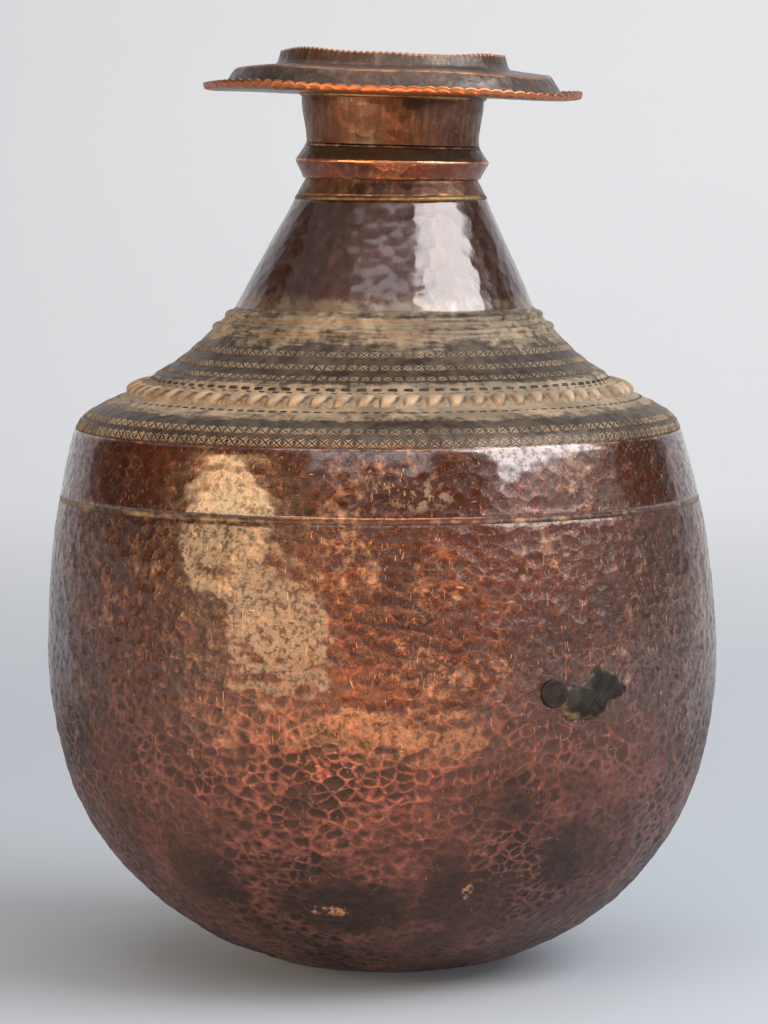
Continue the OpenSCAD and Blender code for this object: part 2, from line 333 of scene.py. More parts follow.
def sheet_ring(name, line, around, step, inside_step=9.0, **masks):
    """A sheet of copper whose outer face follows the line. Each mask is a function of (r, z)."""
    outer = spaced(line, step)
    inner = spaced(beside(line, WALL), inside_step)[::-1]
    outline = np.vstack([outer, inner])
    inside = np.arange(len(outline)) >= len(outer)
    made = {"inside": inside.astype(float)}
    for mask in ("marks", "wear", "edge"):
        made[mask] = masks[mask](*outline.T) if mask in masks else np.zeros(len(outline))
    return turned(name, outline, around, made)


def put_points(obj, points):
    obj.data.vertices.foreach_set("co", np.array(points, np.float32).ravel())
    obj.data.update()


def get_points(obj):
    co = np.zeros(len(obj.data.vertices) * 3, np.float32)
    obj.data.vertices.foreach_get("co", co)
    return co.reshape(-1, 3).astype(float)


def finished(obj, nodes, material=None, smooth=True):
    """Gives a piece its finish and stands it in for its CAD nodes."""
    if material:
        obj.data.materials.clear()
        obj.data.materials.append(material)
    if smooth:
        obj.data.shade_smooth()
    if nodes:
        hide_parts(*nodes)
    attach(obj, "root")
    return obj


# ---------------------------------------------------------------- node trees


class Tree:
    """Short calls that add nodes to a shader tree or a geometry tree."""

    def __init__(self, tree):
        self.tree = tree

    def add(self, kind, inputs=None, **settings):
        node = self.tree.nodes.new(kind)
        for key, value in settings.items():
            setattr(node, key, value)
        for key, value in (inputs or {}).items():
            self.feed(node.inputs[key], value)
        return node

    def feed(self, socket, value):
        if isinstance(value, bpy.types.NodeSocket):
            self.tree.links.new(value, socket)
        elif socket.type == "RGBA" and len(value) == 3:
            socket.default_value = (*value, 1)
        else:
            socket.default_value = value

    def math(self, operation, *values, clamp=False):
        inputs = dict(enumerate(values))
        return self.add("ShaderNodeMath", inputs, operation=operation, use_clamp=clamp).outputs[0]

    def times(self, a, b):
        return self.math("MULTIPLY", a, b)

    def plus(self, a, b, clamp=False):
        return self.math("ADD", a, b, clamp=clamp)

    def less(self, a, b):
        return self.math("SUBTRACT", a, b)

    def rest(self, value):
        """What is left of 1."""
        return self.math("SUBTRACT", 1.0, value)

    def most(self, a, b):
        return self.math("MAXIMUM", a, b)

    def vector(self, operation, *values):
        node = self.add("ShaderNodeVectorMath", operation=operation)
        for i, value in enumerate(values):
            self.feed(node.inputs["Scale" if operation == "SCALE" and i == 1 else i], value)
        return node.outputs["Value" if operation in ("LENGTH", "DISTANCE") else 0]

    def noise(self, place, scale, detail=3.0, rough=0.55, colour=False, warp=0.0):
        node = self.add("ShaderNodeTexNoise", {
            "Vector": place, "Scale": scale, "Detail": detail, "Roughness": rough,
            "Distortion": warp,
        })
        return node.outputs[1 if colour else 0]

    def cells(self, place, scale, feature="F1"):
        return self.add(
            "ShaderNodeTexVoronoi", {"Vector": place, "Scale": scale}, feature=feature,
        ).outputs["Distance"]

    def step(self, value, low, high, to_low=0.0, to_high=1.0):
        return self.add("ShaderNodeMapRange", {
            0: value, 1: low, 2: high, 3: to_low, 4: to_high,
        }, interpolation_type="SMOOTHSTEP").outputs[0]

    def straight(self, value, low, high):
        return self.add("ShaderNodeMapRange", {0: value, 1: low, 2: high}).outputs[0]

    def mask(self, name):
        """A point attribute, in a geometry tree."""
        node = self.add("GeometryNodeInputNamedAttribute", {"Name": name}, data_type="FLOAT")
        return next(o for o in node.outputs if o.enabled and o.name == "Attribute")

    def joined(self, *parts):
        node = self.add("GeometryNodeJoinGeometry")
        for part in parts:
            self.tree.links.new(part, node.inputs[0])
        return node.outputs[0]

    def turn_by(self, x, y, z):
        return self.add("FunctionNodeEulerToRotation", {0: self.join(x, y, z)}).outputs[0]

    def mix(self, share, a, b):
        node = self.add("ShaderNodeMix", data_type="RGBA")
        self.feed(node.inputs[0], share)
        self.feed(node.inputs[6], a)
        self.feed(node.inputs[7], b)
        return node.outputs[2]

    def blend(self, share, a, b):
        node = self.add("ShaderNodeMix", data_type="FLOAT")
        for i, value in ((0, share), (2, a), (3, b)):
            self.feed(node.inputs[i], value)
        return node.outputs[0]

    def split(self, place):
        return self.add("ShaderNodeSeparateXYZ", {0: place}).outputs

    def join(self, x, y, z):
        return self.add("ShaderNodeCombineXYZ", {0: x, 1: y, 2: z}).outputs[0]

    def stretched(self, place, x, y, z):
        return self.vector("MULTIPLY", place, (x, y, z))


def drifted(t, place):
    """The place moved a little, so that hammer marks run unevenly and lie flatter than wide."""
    drift = t.vector("SUBTRACT", t.noise(place, 48.0, 3.0, colour=True), (0.5, 0.5, 0.5))
    moved = t.vector("ADD", place, t.vector("SCALE", drift, 0.007))
    return t.stretched(moved, 1, 1, 1.25)


def hammered(t, place, size):
    """Hammer marks: 0 in the bottom of a mark, near 1 on the ridges between marks."""
    far = t.cells(drifted(t, place), t.math("DIVIDE", 1.0, size))
    return t.times(t.times(far, far), 2.4)


def group_tree(name, kind, inputs, outputs):
    """A node group whose sockets have these names, kinds and starting values."""
    tree = bpy.data.node_groups.new(name, kind)
    for label, socket, start in inputs:
        made = tree.interface.new_socket(label, in_out="INPUT", socket_type=socket)
        if start is not None:
            made.default_value = start
    for label, socket in outputs:
        tree.interface.new_socket(label, in_out="OUTPUT", socket_type=socket)
    t = Tree(tree)
    given = t.add("NodeGroupInput").outputs
    taken = t.add("NodeGroupOutput")
    return t, given, taken


FLOAT, VECTOR = "NodeSocketFloat", "NodeSocketVector"
GEOMETRY, MATERIAL, OBJECT = "NodeSocketGeometry", "NodeSocketMaterial", "NodeSocketObject"


def end_tree(t, given, taken, geometry):
    real = t.add("GeometryNodeRealizeInstances", {"Geometry": geometry}).outputs[0]
    done = t.add("GeometryNodeSetMaterial", {"Geometry": real, "Material": given["Material"]})
    t.feed(taken.inputs[0], done.outputs[0])
    return t.tree


def hammer_tree():
    """Sinks hammer marks into a sheet where its marks mask says, and dents both of its faces."""
    t, given, taken = group_tree("Hammer Marks", "GeometryNodeTree", [
        ("Geometry", GEOMETRY, None), ("Mark Size", FLOAT, 0.01), ("Depth", FLOAT, 0.0004),
        ("Material", MATERIAL, None),
    ], [("Geometry", GEOMETRY)])
    place = t.add("GeometryNodeInputPosition").outputs[0]
    normal = t.add("GeometryNodeInputNormal").outputs[0]
    mask = t.mask("marks")
    height = t.less(hammered(t, place, given["Mark Size"]), 0.5)
    dents = t.times(t.less(t.noise(place, 26.0, 1.0), 0.5), 6.5)
    broad = t.times(t.less(t.noise(place, 11.5, 1.0), 0.5), 13.0)
    inside = t.mask("inside")
    height = t.times(height, t.rest(inside))
    both = t.times(t.plus(dents, broad), t.rest(t.times(inside, 2.0)))
    height = t.times(t.times(t.plus(height, both), mask), given["Depth"])
    moved = t.add("GeometryNodeSetPosition", {
        "Geometry": given["Geometry"], "Offset": t.vector("SCALE", normal, height),
    }).outputs[0]
    return end_tree(t, given, taken, moved)


def row_tree():
    """Sets a stamp many times round the pot and adds the row to what is already there."""
    t, given, taken = group_tree("Stamped Row", "GeometryNodeTree", [
        ("Geometry", GEOMETRY, None), ("Stamp", OBJECT, None), ("Radius", FLOAT, 0.1),
        ("Height", FLOAT, 0.27), ("Lean", FLOAT, 0.5), ("Count", "NodeSocketInt", 100),
        ("Size", FLOAT, 1.0), ("Unevenness", FLOAT, 0.1), ("Seed", "NodeSocketInt", 1),
        ("Material", MATERIAL, None),
    ], [("Geometry", GEOMETRY)])
    ring = t.add("GeometryNodeMeshCircle", {
        "Vertices": given["Count"], "Radius": given["Radius"],
    }).outputs[0]

    def uneven(low, high, more):
        seed = t.plus(given["Seed"], more)
        return t.add(
            "FunctionNodeRandomValue", {2: low, 3: high, 8: seed}, data_type="FLOAT",
        ).outputs[1]

    place = t.add("GeometryNodeInputPosition").outputs[0]
    slip = t.times(uneven(-0.0011, 0.0011, 11), given["Unevenness"])
    lift = t.plus(given["Height"], t.times(slip, t.math("COSINE", given["Lean"])))
    out = t.rest(t.math("DIVIDE", t.math(
        "MULTIPLY", slip, t.math("SINE", given["Lean"])), given["Radius"]))
    x, y, _ = t.split(place)
    ring = t.add("GeometryNodeSetPosition", {
        "Geometry": ring,
        "Position": t.join(t.times(x, out), t.times(y, out), lift),
    }).outputs[0]
    place = t.split(t.add("GeometryNodeInputPosition").outputs[0])
    turn = t.plus(t.math("ARCTAN2", place[1], place[0]), math.pi / 2)
    tilt = t.less(math.pi / 2, given["Lean"])
    stamp = t.add("GeometryNodeObjectInfo", {"Object": given["Stamp"]}).outputs["Geometry"]
    spread = t.times(uneven(-0.9, 0.9, 23), given["Unevenness"])
    size = t.times(given["Size"], t.plus(1.0, spread))
    row = t.add("GeometryNodeInstanceOnPoints", {
        "Points": ring, "Instance": stamp, "Rotation": t.turn_by(tilt, 0.0, turn),
        "Scale": t.join(size, size, size),
    }).outputs[0]
    twist = t.times(uneven(-1.0, 1.0, 37), given["Unevenness"])
    row = t.add("GeometryNodeRotateInstances", {
        "Instances": row, "Rotation": t.turn_by(0.0, 0.0, twist), "Local Space": True,
    }).outputs[0]
    return end_tree(t, given, taken, t.joined(given["Geometry"], row))


def scallop_tree():
    """Cuts scallops into an edge that its edge mask marks."""
    t, given, taken = group_tree("Scalloped Edge", "GeometryNodeTree", [
        ("Geometry", GEOMETRY, None), ("Count", FLOAT, 84.0), ("Depth", FLOAT, 0.001),
        ("Material", MATERIAL, None),
    ], [("Geometry", GEOMETRY)])
    place = t.add("GeometryNodeInputPosition").outputs[0]
    mask = t.mask("edge")
    x, y, _ = t.split(place)
    turn = t.times(t.math("ARCTAN2", y, x), t.times(given["Count"], 0.5))
    lobe = t.math("POWER", t.math("ABSOLUTE", t.math("COSINE", turn)), 0.55)
    uneven = t.plus(0.65, t.times(t.noise(place, 60.0, 1.0), 0.7))
    drop = t.times(t.less(lobe, 0.7), t.times(given["Depth"], uneven))
    moved = t.add("GeometryNodeSetPosition", {
        "Geometry": given["Geometry"],
        "Offset": t.join(0.0, 0.0, t.times(drop, mask)),
    }).outputs[0]
    return end_tree(t, given, taken, moved)


def fleck_tree():
    """Drops small uneven lumps of metal on a surface and keeps the surface."""
    t, given, taken = group_tree("Flecks", "GeometryNodeTree", [
        ("Geometry", GEOMETRY, None), ("Density", FLOAT, 20000.0), ("Size", FLOAT, 0.0008),
        ("Seed", "NodeSocketInt", 1), ("Material", MATERIAL, None),
    ], [("Geometry", GEOMETRY)])
    points = t.add("GeometryNodeDistributePointsOnFaces", {
        "Mesh": given["Geometry"], "Density": given["Density"], "Seed": given["Seed"],
    })
    lump = t.add("GeometryNodeMeshIcoSphere", {"Radius": 1.0, "Subdivisions": 1}).outputs[0]
    grow = t.add("FunctionNodeRandomValue", {
        0: (0.4, 0.3, 0.12), 1: (1.7, 1.0, 0.3), 8: given["Seed"],
    }, data_type="FLOAT_VECTOR").outputs[0]
    lumps = t.add("GeometryNodeInstanceOnPoints", {
        "Points": points.outputs[0], "Instance": lump, "Rotation": points.outputs["Rotation"],
        "Scale": t.vector("SCALE", grow, given["Size"]),
    }).outputs[0]
    return end_tree(t, given, taken, t.joined(given["Geometry"], lumps))


def run_tree(obj, tree, **values):
    """Puts a tree on an object with these input values and keeps the result as its mesh."""
    add_tree(obj, tree, **values)
    return keep_result(obj)


def add_tree(obj, tree, **values):
    modifier = obj.modifiers.new(tree.name, "NODES")
    modifier.node_group = tree
    for item in tree.interface.items_tree:
        key = item.name.replace(" ", "_").lower()
        if item.in_out == "INPUT" and key in values:
            value = values[key]
            modifier[item.identifier] = float(value) if item.socket_type == FLOAT else value


def keep_result(obj):
    graph = bpy.context.evaluated_depsgraph_get()
    mesh = bpy.data.meshes.new_from_object(
        obj.evaluated_get(graph), preserve_all_data_layers=True, depsgraph=graph
    )
    obj.modifiers.clear()
    old = obj.data
    obj.data = mesh
    bpy.data.meshes.remove(old)
    mesh.name = obj.name
    return obj


def tree_named(name, maker):
    return bpy.data.node_groups.get(name) or maker()


# ---------------------------------------------------------------- finishes


def patina_group():
    """Cloudy oxide: broad blotches, fine mottle and downward streaks, each from 0 to 1."""
    t, given, taken = group_tree("Old Patina", "ShaderNodeTree", [
        ("Place", VECTOR, None), ("Scale", FLOAT, 1.0),
    ], [("Blotch", FLOAT), ("Mottle", FLOAT), ("Streak", FLOAT)])
    place = t.vector("SCALE", given["Place"], given["Scale"])
    t.feed(taken.inputs["Blotch"], t.step(t.noise(place, 16.0, 5.0, 0.62, warp=0.6), 0.38, 0.64))
    t.feed(taken.inputs["Mottle"], t.step(t.noise(place, 150.0, 4.0, 0.6), 0.35, 0.68))
    t.feed(taken.inputs["Streak"], t.step(
        t.noise(t.stretched(place, 1, 1, 0.16), 190.0, 4.0, 0.6), 0.45, 0.72))
    return t.tree


def hammer_group():
    """The mesh's own hammer marks: a mask of their ridges, so wide, and a finer height."""
    t, given, taken = group_tree("Hammer Ridges", "ShaderNodeTree", [
        ("Place", VECTOR, None), ("Mark Size", FLOAT, 0.0066), ("Width", FLOAT, 0.2),
    ], [("Ridge", FLOAT), ("Height", FLOAT)])
    height = hammered(t, given["Place"], given["Mark Size"])
    near_edge = t.cells(
        drifted(t, given["Place"]), t.math("DIVIDE", 1.0, given["Mark Size"]), "DISTANCE_TO_EDGE")
    grain = t.less(t.noise(given["Place"], 330.0, 4.0, 0.65), 0.5)
    near_edge = t.math("MULTIPLY_ADD", grain, 0.34, near_edge)
    patchy = t.less(t.noise(given["Place"], 95.0, 3.0, 0.6), 0.5)
    near_edge = t.math("MULTIPLY_ADD", patchy, 0.42, near_edge)
    wide = given["Width"]
    t.feed(taken.inputs["Ridge"], t.step(near_edge, t.times(wide, -0.25), wide, 1.0, 0.0))
    ripple = t.noise(given["Place"], 290.0, 3.0, 0.6, warp=1.6)
    t.feed(taken.inputs["Height"], t.plus(height, t.times(ripple, 0.85)))
    return t.tree


def scratch_group():
    """Thin light scratches, mostly up and down the pot."""
    t, given, taken = group_tree("Scratches", "ShaderNodeTree", [
        ("Place", VECTOR, None), ("Amount", FLOAT, 0.5),
    ], [("Mask", FLOAT)])
    bent = t.vector("ADD", given["Place"], t.vector(
        "SCALE", t.noise(given["Place"], 22.0, 2.0, colour=True), 0.012))
    upright = t.noise(t.stretched(bent, 1, 1, 0.08), 1200.0, 2.0, 0.5)
    level = t.noise(t.stretched(bent, 0.2, 0.2, 1), 700.0, 2.0, 0.5)
    thin = t.most(upright, t.less(level, 0.06))
    where = t.noise(given["Place"], 55.0, 3.0)
    edge = t.less(0.79, t.times(given["Amount"], t.times(where, 0.26)))
    t.feed(taken.inputs["Mask"], t.step(thin, edge, t.plus(edge, 0.06)))
    return t.tree


def residue_group():
    """Pale polish and dust: a torn mask that grows with the amount."""
    t, given, taken = group_tree("Pale Residue", "ShaderNodeTree", [
        ("Place", VECTOR, None), ("Amount", FLOAT, 0.5),
    ], [("Mask", FLOAT)])
    broken = t.noise(given["Place"], 210.0, 5.0, 0.66)
    cloudy = t.noise(given["Place"], 34.0, 3.0)
    level = t.plus(t.times(broken, 0.55), t.times(cloudy, 0.45))
    edge = t.less(0.82, t.times(given["Amount"], 0.62))
    t.feed(taken.inputs["Mask"], t.step(level, t.less(edge, 0.10), t.plus(edge, 0.12)))
    return t.tree


def wear_group():
    """Rubbed edges: the piece's wear mask broken up by grain."""
    t, given, taken = group_tree("Edge Wear", "ShaderNodeTree", [
        ("Place", VECTOR, None), ("Wear", FLOAT, 0.0),
    ], [("Mask", FLOAT)])
    grain = t.noise(given["Place"], 130.0, 5.0, 0.65)
    level = t.plus(given["Wear"], t.times(t.less(grain, 0.5), 0.9))
    t.feed(taken.inputs["Mask"], t.step(level, 0.38, 0.72))
    return t.tree


class Finish:
    """A material being made: its tree, its surface shader and where on the pot each point is."""

    def __init__(self, name):
        self.material = bpy.data.materials.new(name)
        self.material.use_nodes = True
        self.material.node_tree.nodes.clear()
        self.t = Tree(self.material.node_tree)
        self.place = self.t.add("ShaderNodeTexCoord").outputs["Object"]
        self.surface = self.t.add("ShaderNodeBsdfPrincipled")
        out = self.t.add("ShaderNodeOutputMaterial")
        self.material.node_tree.links.new(self.surface.outputs[0], out.inputs[0])

    def mask(self, name):
        return self.t.add("ShaderNodeAttribute", attribute_name=name).outputs["Fac"]

    def group(self, name, maker, **values):
        node = self.t.add("ShaderNodeGroup")
        node.node_tree = tree_named(name, maker)
        for key, value in values.items():
            self.t.feed(node.inputs[key.replace("_", " ")], value)
        return node.outputs

    def bump(self, height, strength, distance):
        return self.t.add("ShaderNodeBump", {
            "Height": height, "Strength": strength, "Distance": distance,
        }).outputs[0]

    def set(self, **values):
        for key, value in values.items():
            self.t.feed(self.surface.inputs[key.replace("_", " ")], value)
        return self.material


def near(t, place, ragged, centre, across, stretch):
    """1 at a place on the pot, fading to 0 round it with a ragged edge."""
    away = t.vector("LENGTH", t.vector("MULTIPLY", t.vector("SUBTRACT", place, centre), stretch))
    away = t.math("MULTIPLY_ADD", ragged, across * 1.1, away)
    return t.step(away, across * 0.5, across, 1.0, 0.0)


def on_belly(turn, z, line=BOWL_WALL):
    """The point of the belly at an angle round from the front, in degrees, and a height in mm."""
    r, _ = on_line(line, z)
    a = math.radians(turn - 90)
    return Vector((r * math.cos(a), r * math.sin(a), z)) * MM


def belly_finish(f, colours):
    """Colour, roughness and heights of the belly: dark marks with rubbed ridges low down, their pale
    mauve partly a painted reflection of the pale floor, glossy red-brown with scratches higher up."""
    t, place = f.t, f.place
    _, _, z = t.split(place)
    patina = f.group("Old Patina", patina_group, Place=place)
    broad = t.noise(place, 13.0, 4.0)
    waver = t.times(t.less(broad, 0.5), 0.085)
    low = t.step(t.plus(z, waver), 0.112, 0.160, 1.0, 0.0)
    wide = t.blend(t.step(t.plus(z, waver), 0.075, 0.145, 1.0, 0.0), 0.115, 0.28)
    wide = t.times(wide, t.step(t.noise(place, 24.0, 3.0), 0.36, 0.66, 0.55, 2.1))
    ridges = f.group("Hammer Ridges", hammer_group, Place=place, Width=wide)
    scratch = f.group("Scratches", scratch_group, Place=place, Amount=0.82)["Mask"]
    speckled = t.step(t.noise(place, 19.0, 3.0), 0.42, 0.70, 0.27, 0.40)
    flecks = f.group("Pale Residue", residue_group, Place=place, Amount=speckled)["Mask"]

    soot = t.times(t.step(t.noise(place, 9.0, 4.0, 0.6), 0.52, 0.66), 0.6)
    ragged = t.less(t.noise(place, 70.0, 4.0), 0.5)
    for turn, high, across, stretch in (
        (-8, 46, 0.030, (0.75, 1, 1.5)), (14, 52, 0.027, (1.25, 1, 0.8)),
        (38, 70, 0.024, (1, 1, 1)),
        (-38, 60, 0.026, (1, 1, 1.2)), (150, 70, 0.03, (1, 1, 1)), (-120, 55, 0.03, (1, 1, 1.3)),
    ):
        soot = t.most(soot, near(t, place, ragged, on_belly(turn, high), across, stretch))
    rubbed = t.times(ridges["Ridge"], t.rest(t.times(soot, 0.8)))
    rubbed = t.times(rubbed, t.step(t.noise(place, 42.0, 4.0, 0.6), 0.34, 0.56, 0.25, 1.0))
    pit = t.mix(
        patina["Blotch"], t_mid(colours["dark"], (0, 0, 0), 0.3),
        t_mid(colours["dark"], colours["mauve"], 0.2),
    )
    # Mauve on the low ridges: rubbed copper, and partly a painted reflection of the pale floor
    # below.
    low_colour = t.mix(
        rubbed, pit,
        t.mix(patina["Mottle"], colours["mauve"], t_mid(colours["mauve"], colours["red"], 0.4)),
    )
    speck = t.step(t.noise(place, 380.0, 5.0, 0.7), 0.50, 0.60)
    low_colour = t.mix(t.times(speck, 0.45), low_colour, colours["dark"])
    low_colour = t.mix(t.times(soot, 0.55), low_colour, colours["dark"])
    low_colour = t.mix(t.times(scratch, 0.4), low_colour, colours["copper"])

    deep = t_mid(colours["red"], colours["dark"], 0.65)
    high_colour = t.mix(patina["Blotch"], colours["red"], deep)
    high_colour = t.mix(t.times(patina["Mottle"], 0.55), high_colour, colours["dark"])
    grime = t.step(t.noise(place, 360.0, 6.0, 0.72), 0.47, 0.58)
    high_colour = t.mix(t.times(grime, 0.62), high_colour, t_mid(colours["dark"], (0, 0, 0), 0.45))
    glint = t.step(t.noise(place, 240.0, 5.0, 0.7, warp=2.2), 0.56, 0.64)
    high_colour = t.mix(
        t.times(glint, 0.24), high_colour, t_mid(colours["red"], colours["copper"], 0.6),
    )
    light = t.times(ridges["Ridge"], t.step(t.noise(place, 30.0, 4.0, 0.6), 0.45, 0.7, 0.03, 0.26))
    high_colour = t.mix(light, high_colour, t_mid(colours["red"], colours["copper"], 0.5))
    pale = t_mid(colours["copper"], colours["residue"], 0.6)
    high_colour = t.mix(t.times(t.most(scratch, flecks), 0.8), high_colour, pale)

    colour = t.mix(low, high_colour, low_colour)
    rough_low = t.blend(rubbed, 0.50, 0.38)
    rough_high = t.plus(0.13, t.times(patina["Mottle"], 0.17))
    rough = t.blend(low, rough_high, rough_low)
    rough = t.plus(rough, t.times(t.most(scratch, grime), 0.14), clamp=True)
    metal = t.blend(low, t.blend(patina["Mottle"], 0.40, 0.18), t.blend(rubbed, 0.40, 0.8))
    fine = t.times(t.noise(place, 560.0, 5.0, 0.65), t.blend(low, 0.85, 0.45))
    height = t.plus(ridges["Height"], fine)
    height = t.plus(height, t.times(t.most(scratch, flecks), -0.15))
    return {"colour": colour, "rough": rough, "height": height, "patina": patina, "ragged": ragged,
            "metal": metal, "low": low, "grime": grime}


def t_mid(a, b, share):
    return tuple(x + (y - x) * share for x, y in zip(a, b))


def palette():
    finish = bpy.context.scene.pot_finish
    return {
        "copper": tuple(finish.copper), "mauve": tuple(finish.mauve),
        "red": tuple(finish.red_brown),
        "dark": tuple(finish.dark_brown), "residue": tuple(finish.residue),
        "spelter": tuple(finish.spelter), "solder": tuple(finish.solder),
    }


def bowl_copper():
    f, c = Finish("hammered_bowl_copper"), palette()
    t = f.t
    belly = belly_finish(f, c)
    inside = f.mask("inside")
    colour = t.mix(inside, belly["colour"], t_mid(c["dark"], c["red"], 0.35))
    for turn, high, across, stretch in (
        (17, 55, 0.0065, (2.2, 1, 0.3)), (-12, 45, 0.006, (0.4, 1, 1.6)),
    ):
        scar = near(t, f.place, belly["ragged"], on_belly(turn, high), across, stretch)
        scar = t.times(scar, t.step(t.noise(f.place, 300.0, 4.0, 0.7), 0.46, 0.56))
        colour = t.mix(t.times(scar, 0.75), colour, t_mid(c["residue"], c["copper"], 0.4))
    normal = f.bump(belly["height"], 0.7, 0.0006)
    clean = t.rest(t.times(belly["grime"], 0.82))
    return f.set(
        Base_Color=colour, Metallic=belly["metal"], Roughness=t.blend(inside, belly["rough"], 0.55),
        Normal=normal, Coat_Weight=t.times(t.blend(belly["low"], 0.60, 0.12), clean),
        Coat_Roughness=0.12, Coat_IOR=1.7,
    )


def body_copper():
    """The upper sheet: belly finish on its wall, residue on its chased slopes, a dark cone."""
    f, c = Finish("chased_body_copper"), palette()
    t, place = f.t, f.place
    belly = belly_finish(f, c)
    _, _, z = t.split(place)
    slope = t.step(z, 0.2588, 0.2602)
    cone = t.step(z, 0.3168, 0.3182)
    rows = t.add("ShaderNodeValToRGB", {"Fac": t.straight(z, 0.2585, 0.3185)})
    stops = (
        (0.0, 0.14), (0.05, 0.30), (0.10, 0.14), (0.14, 0.30), (0.18, 0.14), (0.22, 0.55),
        (0.27, 0.74), (0.37, 0.78), (0.43, 0.70), (0.48, 0.34), (0.53, 0.10), (0.57, 0.30),
        (0.62, 0.10), (0.67, 0.32), (0.72, 0.42), (0.78, 0.60), (0.90, 0.62), (0.97, 0.50),
    )
    ramp = rows.color_ramp
    while len(ramp.elements) < len(stops):
        ramp.elements.new(0.5)
    for element, (place_on, value) in zip(ramp.elements, stops):
        element.position = place_on
        element.color = (value, value, value, 1)
    streaks = t.noise(t.stretched(place, 0.10, 0.10, 1), 900.0, 3.0)
    amount = t.plus(rows.outputs[0], t.times(t.less(streaks, 0.5), 0.7))
    patina = belly["patina"]
    dust = f.group("Pale Residue", residue_group, Place=place, Amount=amount)["Mask"]
    slope_colour = t.mix(patina["Mottle"], t_mid(c["dark"], c["residue"], 0.16), c["dark"])
    tan = t.mix(
        t.most(patina["Blotch"], t.times(patina["Mottle"], 0.8)), c["residue"],
        t_mid(c["residue"], c["dark"], 0.6),
    )
    slope_colour = t.mix(dust, slope_colour, tan)
    cone_colour = t.mix(
        patina["Blotch"], t_mid(c["dark"], c["red"], 0.45), t_mid(c["dark"], c["red"], 0.15),
    )
    cone_colour = t.mix(
        t.times(patina["Streak"], 0.3), cone_colour, t_mid(c["dark"], c["mauve"], 0.5),
    )
    foot_dust = t.step(z, 0.3185, 0.3345, 0.62, 0.0)
    low_dust = f.group("Pale Residue", residue_group, Place=place, Amount=foot_dust)["Mask"]
    cone_colour = t.mix(t.times(low_dust, 0.6), cone_colour, tan)
    colour = t.mix(slope, belly["colour"], slope_colour)
    colour = t.mix(cone, colour, cone_colour)
    worn = f.group("Edge Wear", wear_group, Place=place, Wear=f.mask("wear"))["Mask"]
    colour = t.mix(worn, colour, t_mid(c["copper"], c["mauve"], 0.35))
    on_slope = t.times(slope, t.rest(cone))
    dusty = t.times(on_slope, dust)
    dusty = t.times(dusty, t.rest(worn))
    torn = t.most(near(t, place, belly["ragged"], on_belly(6, 238, SHOULDER), 0.011, (0.5, 1, 1.2)),
                    near(
                        t, place, belly["ragged"], on_belly(37, 254, SHOULDER), 0.006, (0.7, 1, 1),
                    ))
    torn = t.times(torn, t.step(t.noise(place, 230.0, 4.0, 0.7), 0.5, 0.58))
    colour = t.mix(t.times(torn, 0.7), colour, t_mid(c["residue"], c["dark"], 0.35))
    rough = t.blend(on_slope, t.blend(torn, belly["rough"], 0.7), t.blend(dust, 0.42, 0.78))
    rough = t.blend(cone, rough, t.plus(0.20, t.times(patina["Mottle"], 0.12)))
    inside = f.mask("inside")
    colour = t.mix(inside, colour, t_mid(c["dark"], c["red"], 0.35))
    fine = t.times(t.noise(place, 480.0, 5.0, 0.65), 0.35)
    height = t.plus(belly["height"], t.times(dusty, fine))
    smooth_wall = t.step(z, 0.2285, 0.233, 1.0, 0.38)
    height = t.times(height, t.blend(on_slope, smooth_wall, 0.45))
    metal = t.blend(on_slope, belly["metal"], t.blend(worn, 0.35, 0.9))
    metal = t.times(metal, t.rest(t.times(dusty, 0.8)))
    shiny = t.less(t.blend(cone, 0.85, 0.62), t.times(on_slope, 0.78))
    grimy = t.times(belly["grime"], t.rest(cone))
    shiny = t.times(shiny, t.rest(t.times(grimy, 0.6)))
    return f.set(
        Base_Color=colour, Metallic=metal, Roughness=t.blend(inside, rough, 0.55),
        Normal=f.bump(height, 0.55, 0.0005), Coat_Weight=shiny, Coat_Roughness=0.10, Coat_IOR=1.8,
    )


def plain_copper(
    name, base, second, wear_colour, rough, dust_amount, inside_colour=None, soil=False,
):
    """Copper of a neck or rim piece: two patina colours, dust, and rubbed edges."""
    f, c = Finish(name), palette()
    t, place = f.t, f.place
    patina = f.group("Old Patina", patina_group, Place=place, Scale=1.7)
    scratch = f.group("Scratches", scratch_group, Place=place, Amount=0.6)["Mask"]
    dust = f.group("Pale Residue", residue_group, Place=place, Amount=dust_amount)["Mask"]
    worn = f.group("Edge Wear", wear_group, Place=place, Wear=f.mask("wear"))["Mask"]
    inside = f.mask("inside")
    colour = t.mix(patina["Blotch"], base, second)
    colour = t.mix(t.times(patina["Mottle"], 0.5), colour, c["dark"])
    colour = t.mix(t.times(patina["Streak"], 0.35), colour, t_mid(base, c["residue"], 0.5))
    dust = t.times(dust, t.rest(worn))
    colour = t.mix(dust, colour, c["residue"])
    # Darker on the band's upper half.
    if soil:
        top_darkening = t.times(f.mask("soil"), 0.85)
        colour = t.mix(top_darkening, colour, t_mid(c["dark"], c["residue"], 0.12))
    colour = t.mix(worn, colour, wear_colour)
    colour = t.mix(t.times(scratch, 0.6), colour, wear_colour)
    unworn = t.times(inside, t.rest(worn))
    colour = t.mix(
        unworn, colour,
        t.mix(patina["Blotch"], inside_colour or t_mid(c["dark"], c["red"], 0.3), c["dark"]),
    )
    height = t.plus(f.group("Hammer Ridges", hammer_group, Place=place, Mark_Size=0.0075)["Height"],
                    t.times(t.noise(place, 430.0, 5.0, 0.62), 0.5))
    level = t.plus(rough, t.times(patina["Mottle"], 0.14))
    level = t.blend(dust, level, 0.75)
    metal = t.times(t.blend(worn, 0.45, 0.95), t.rest(t.times(dust, 0.75)))
    return f.set(
        Base_Color=colour, Metallic=metal, Roughness=level, Normal=f.bump(height, 0.45, 0.0004),
        Coat_Weight=0.15, Coat_Roughness=0.15,
    )


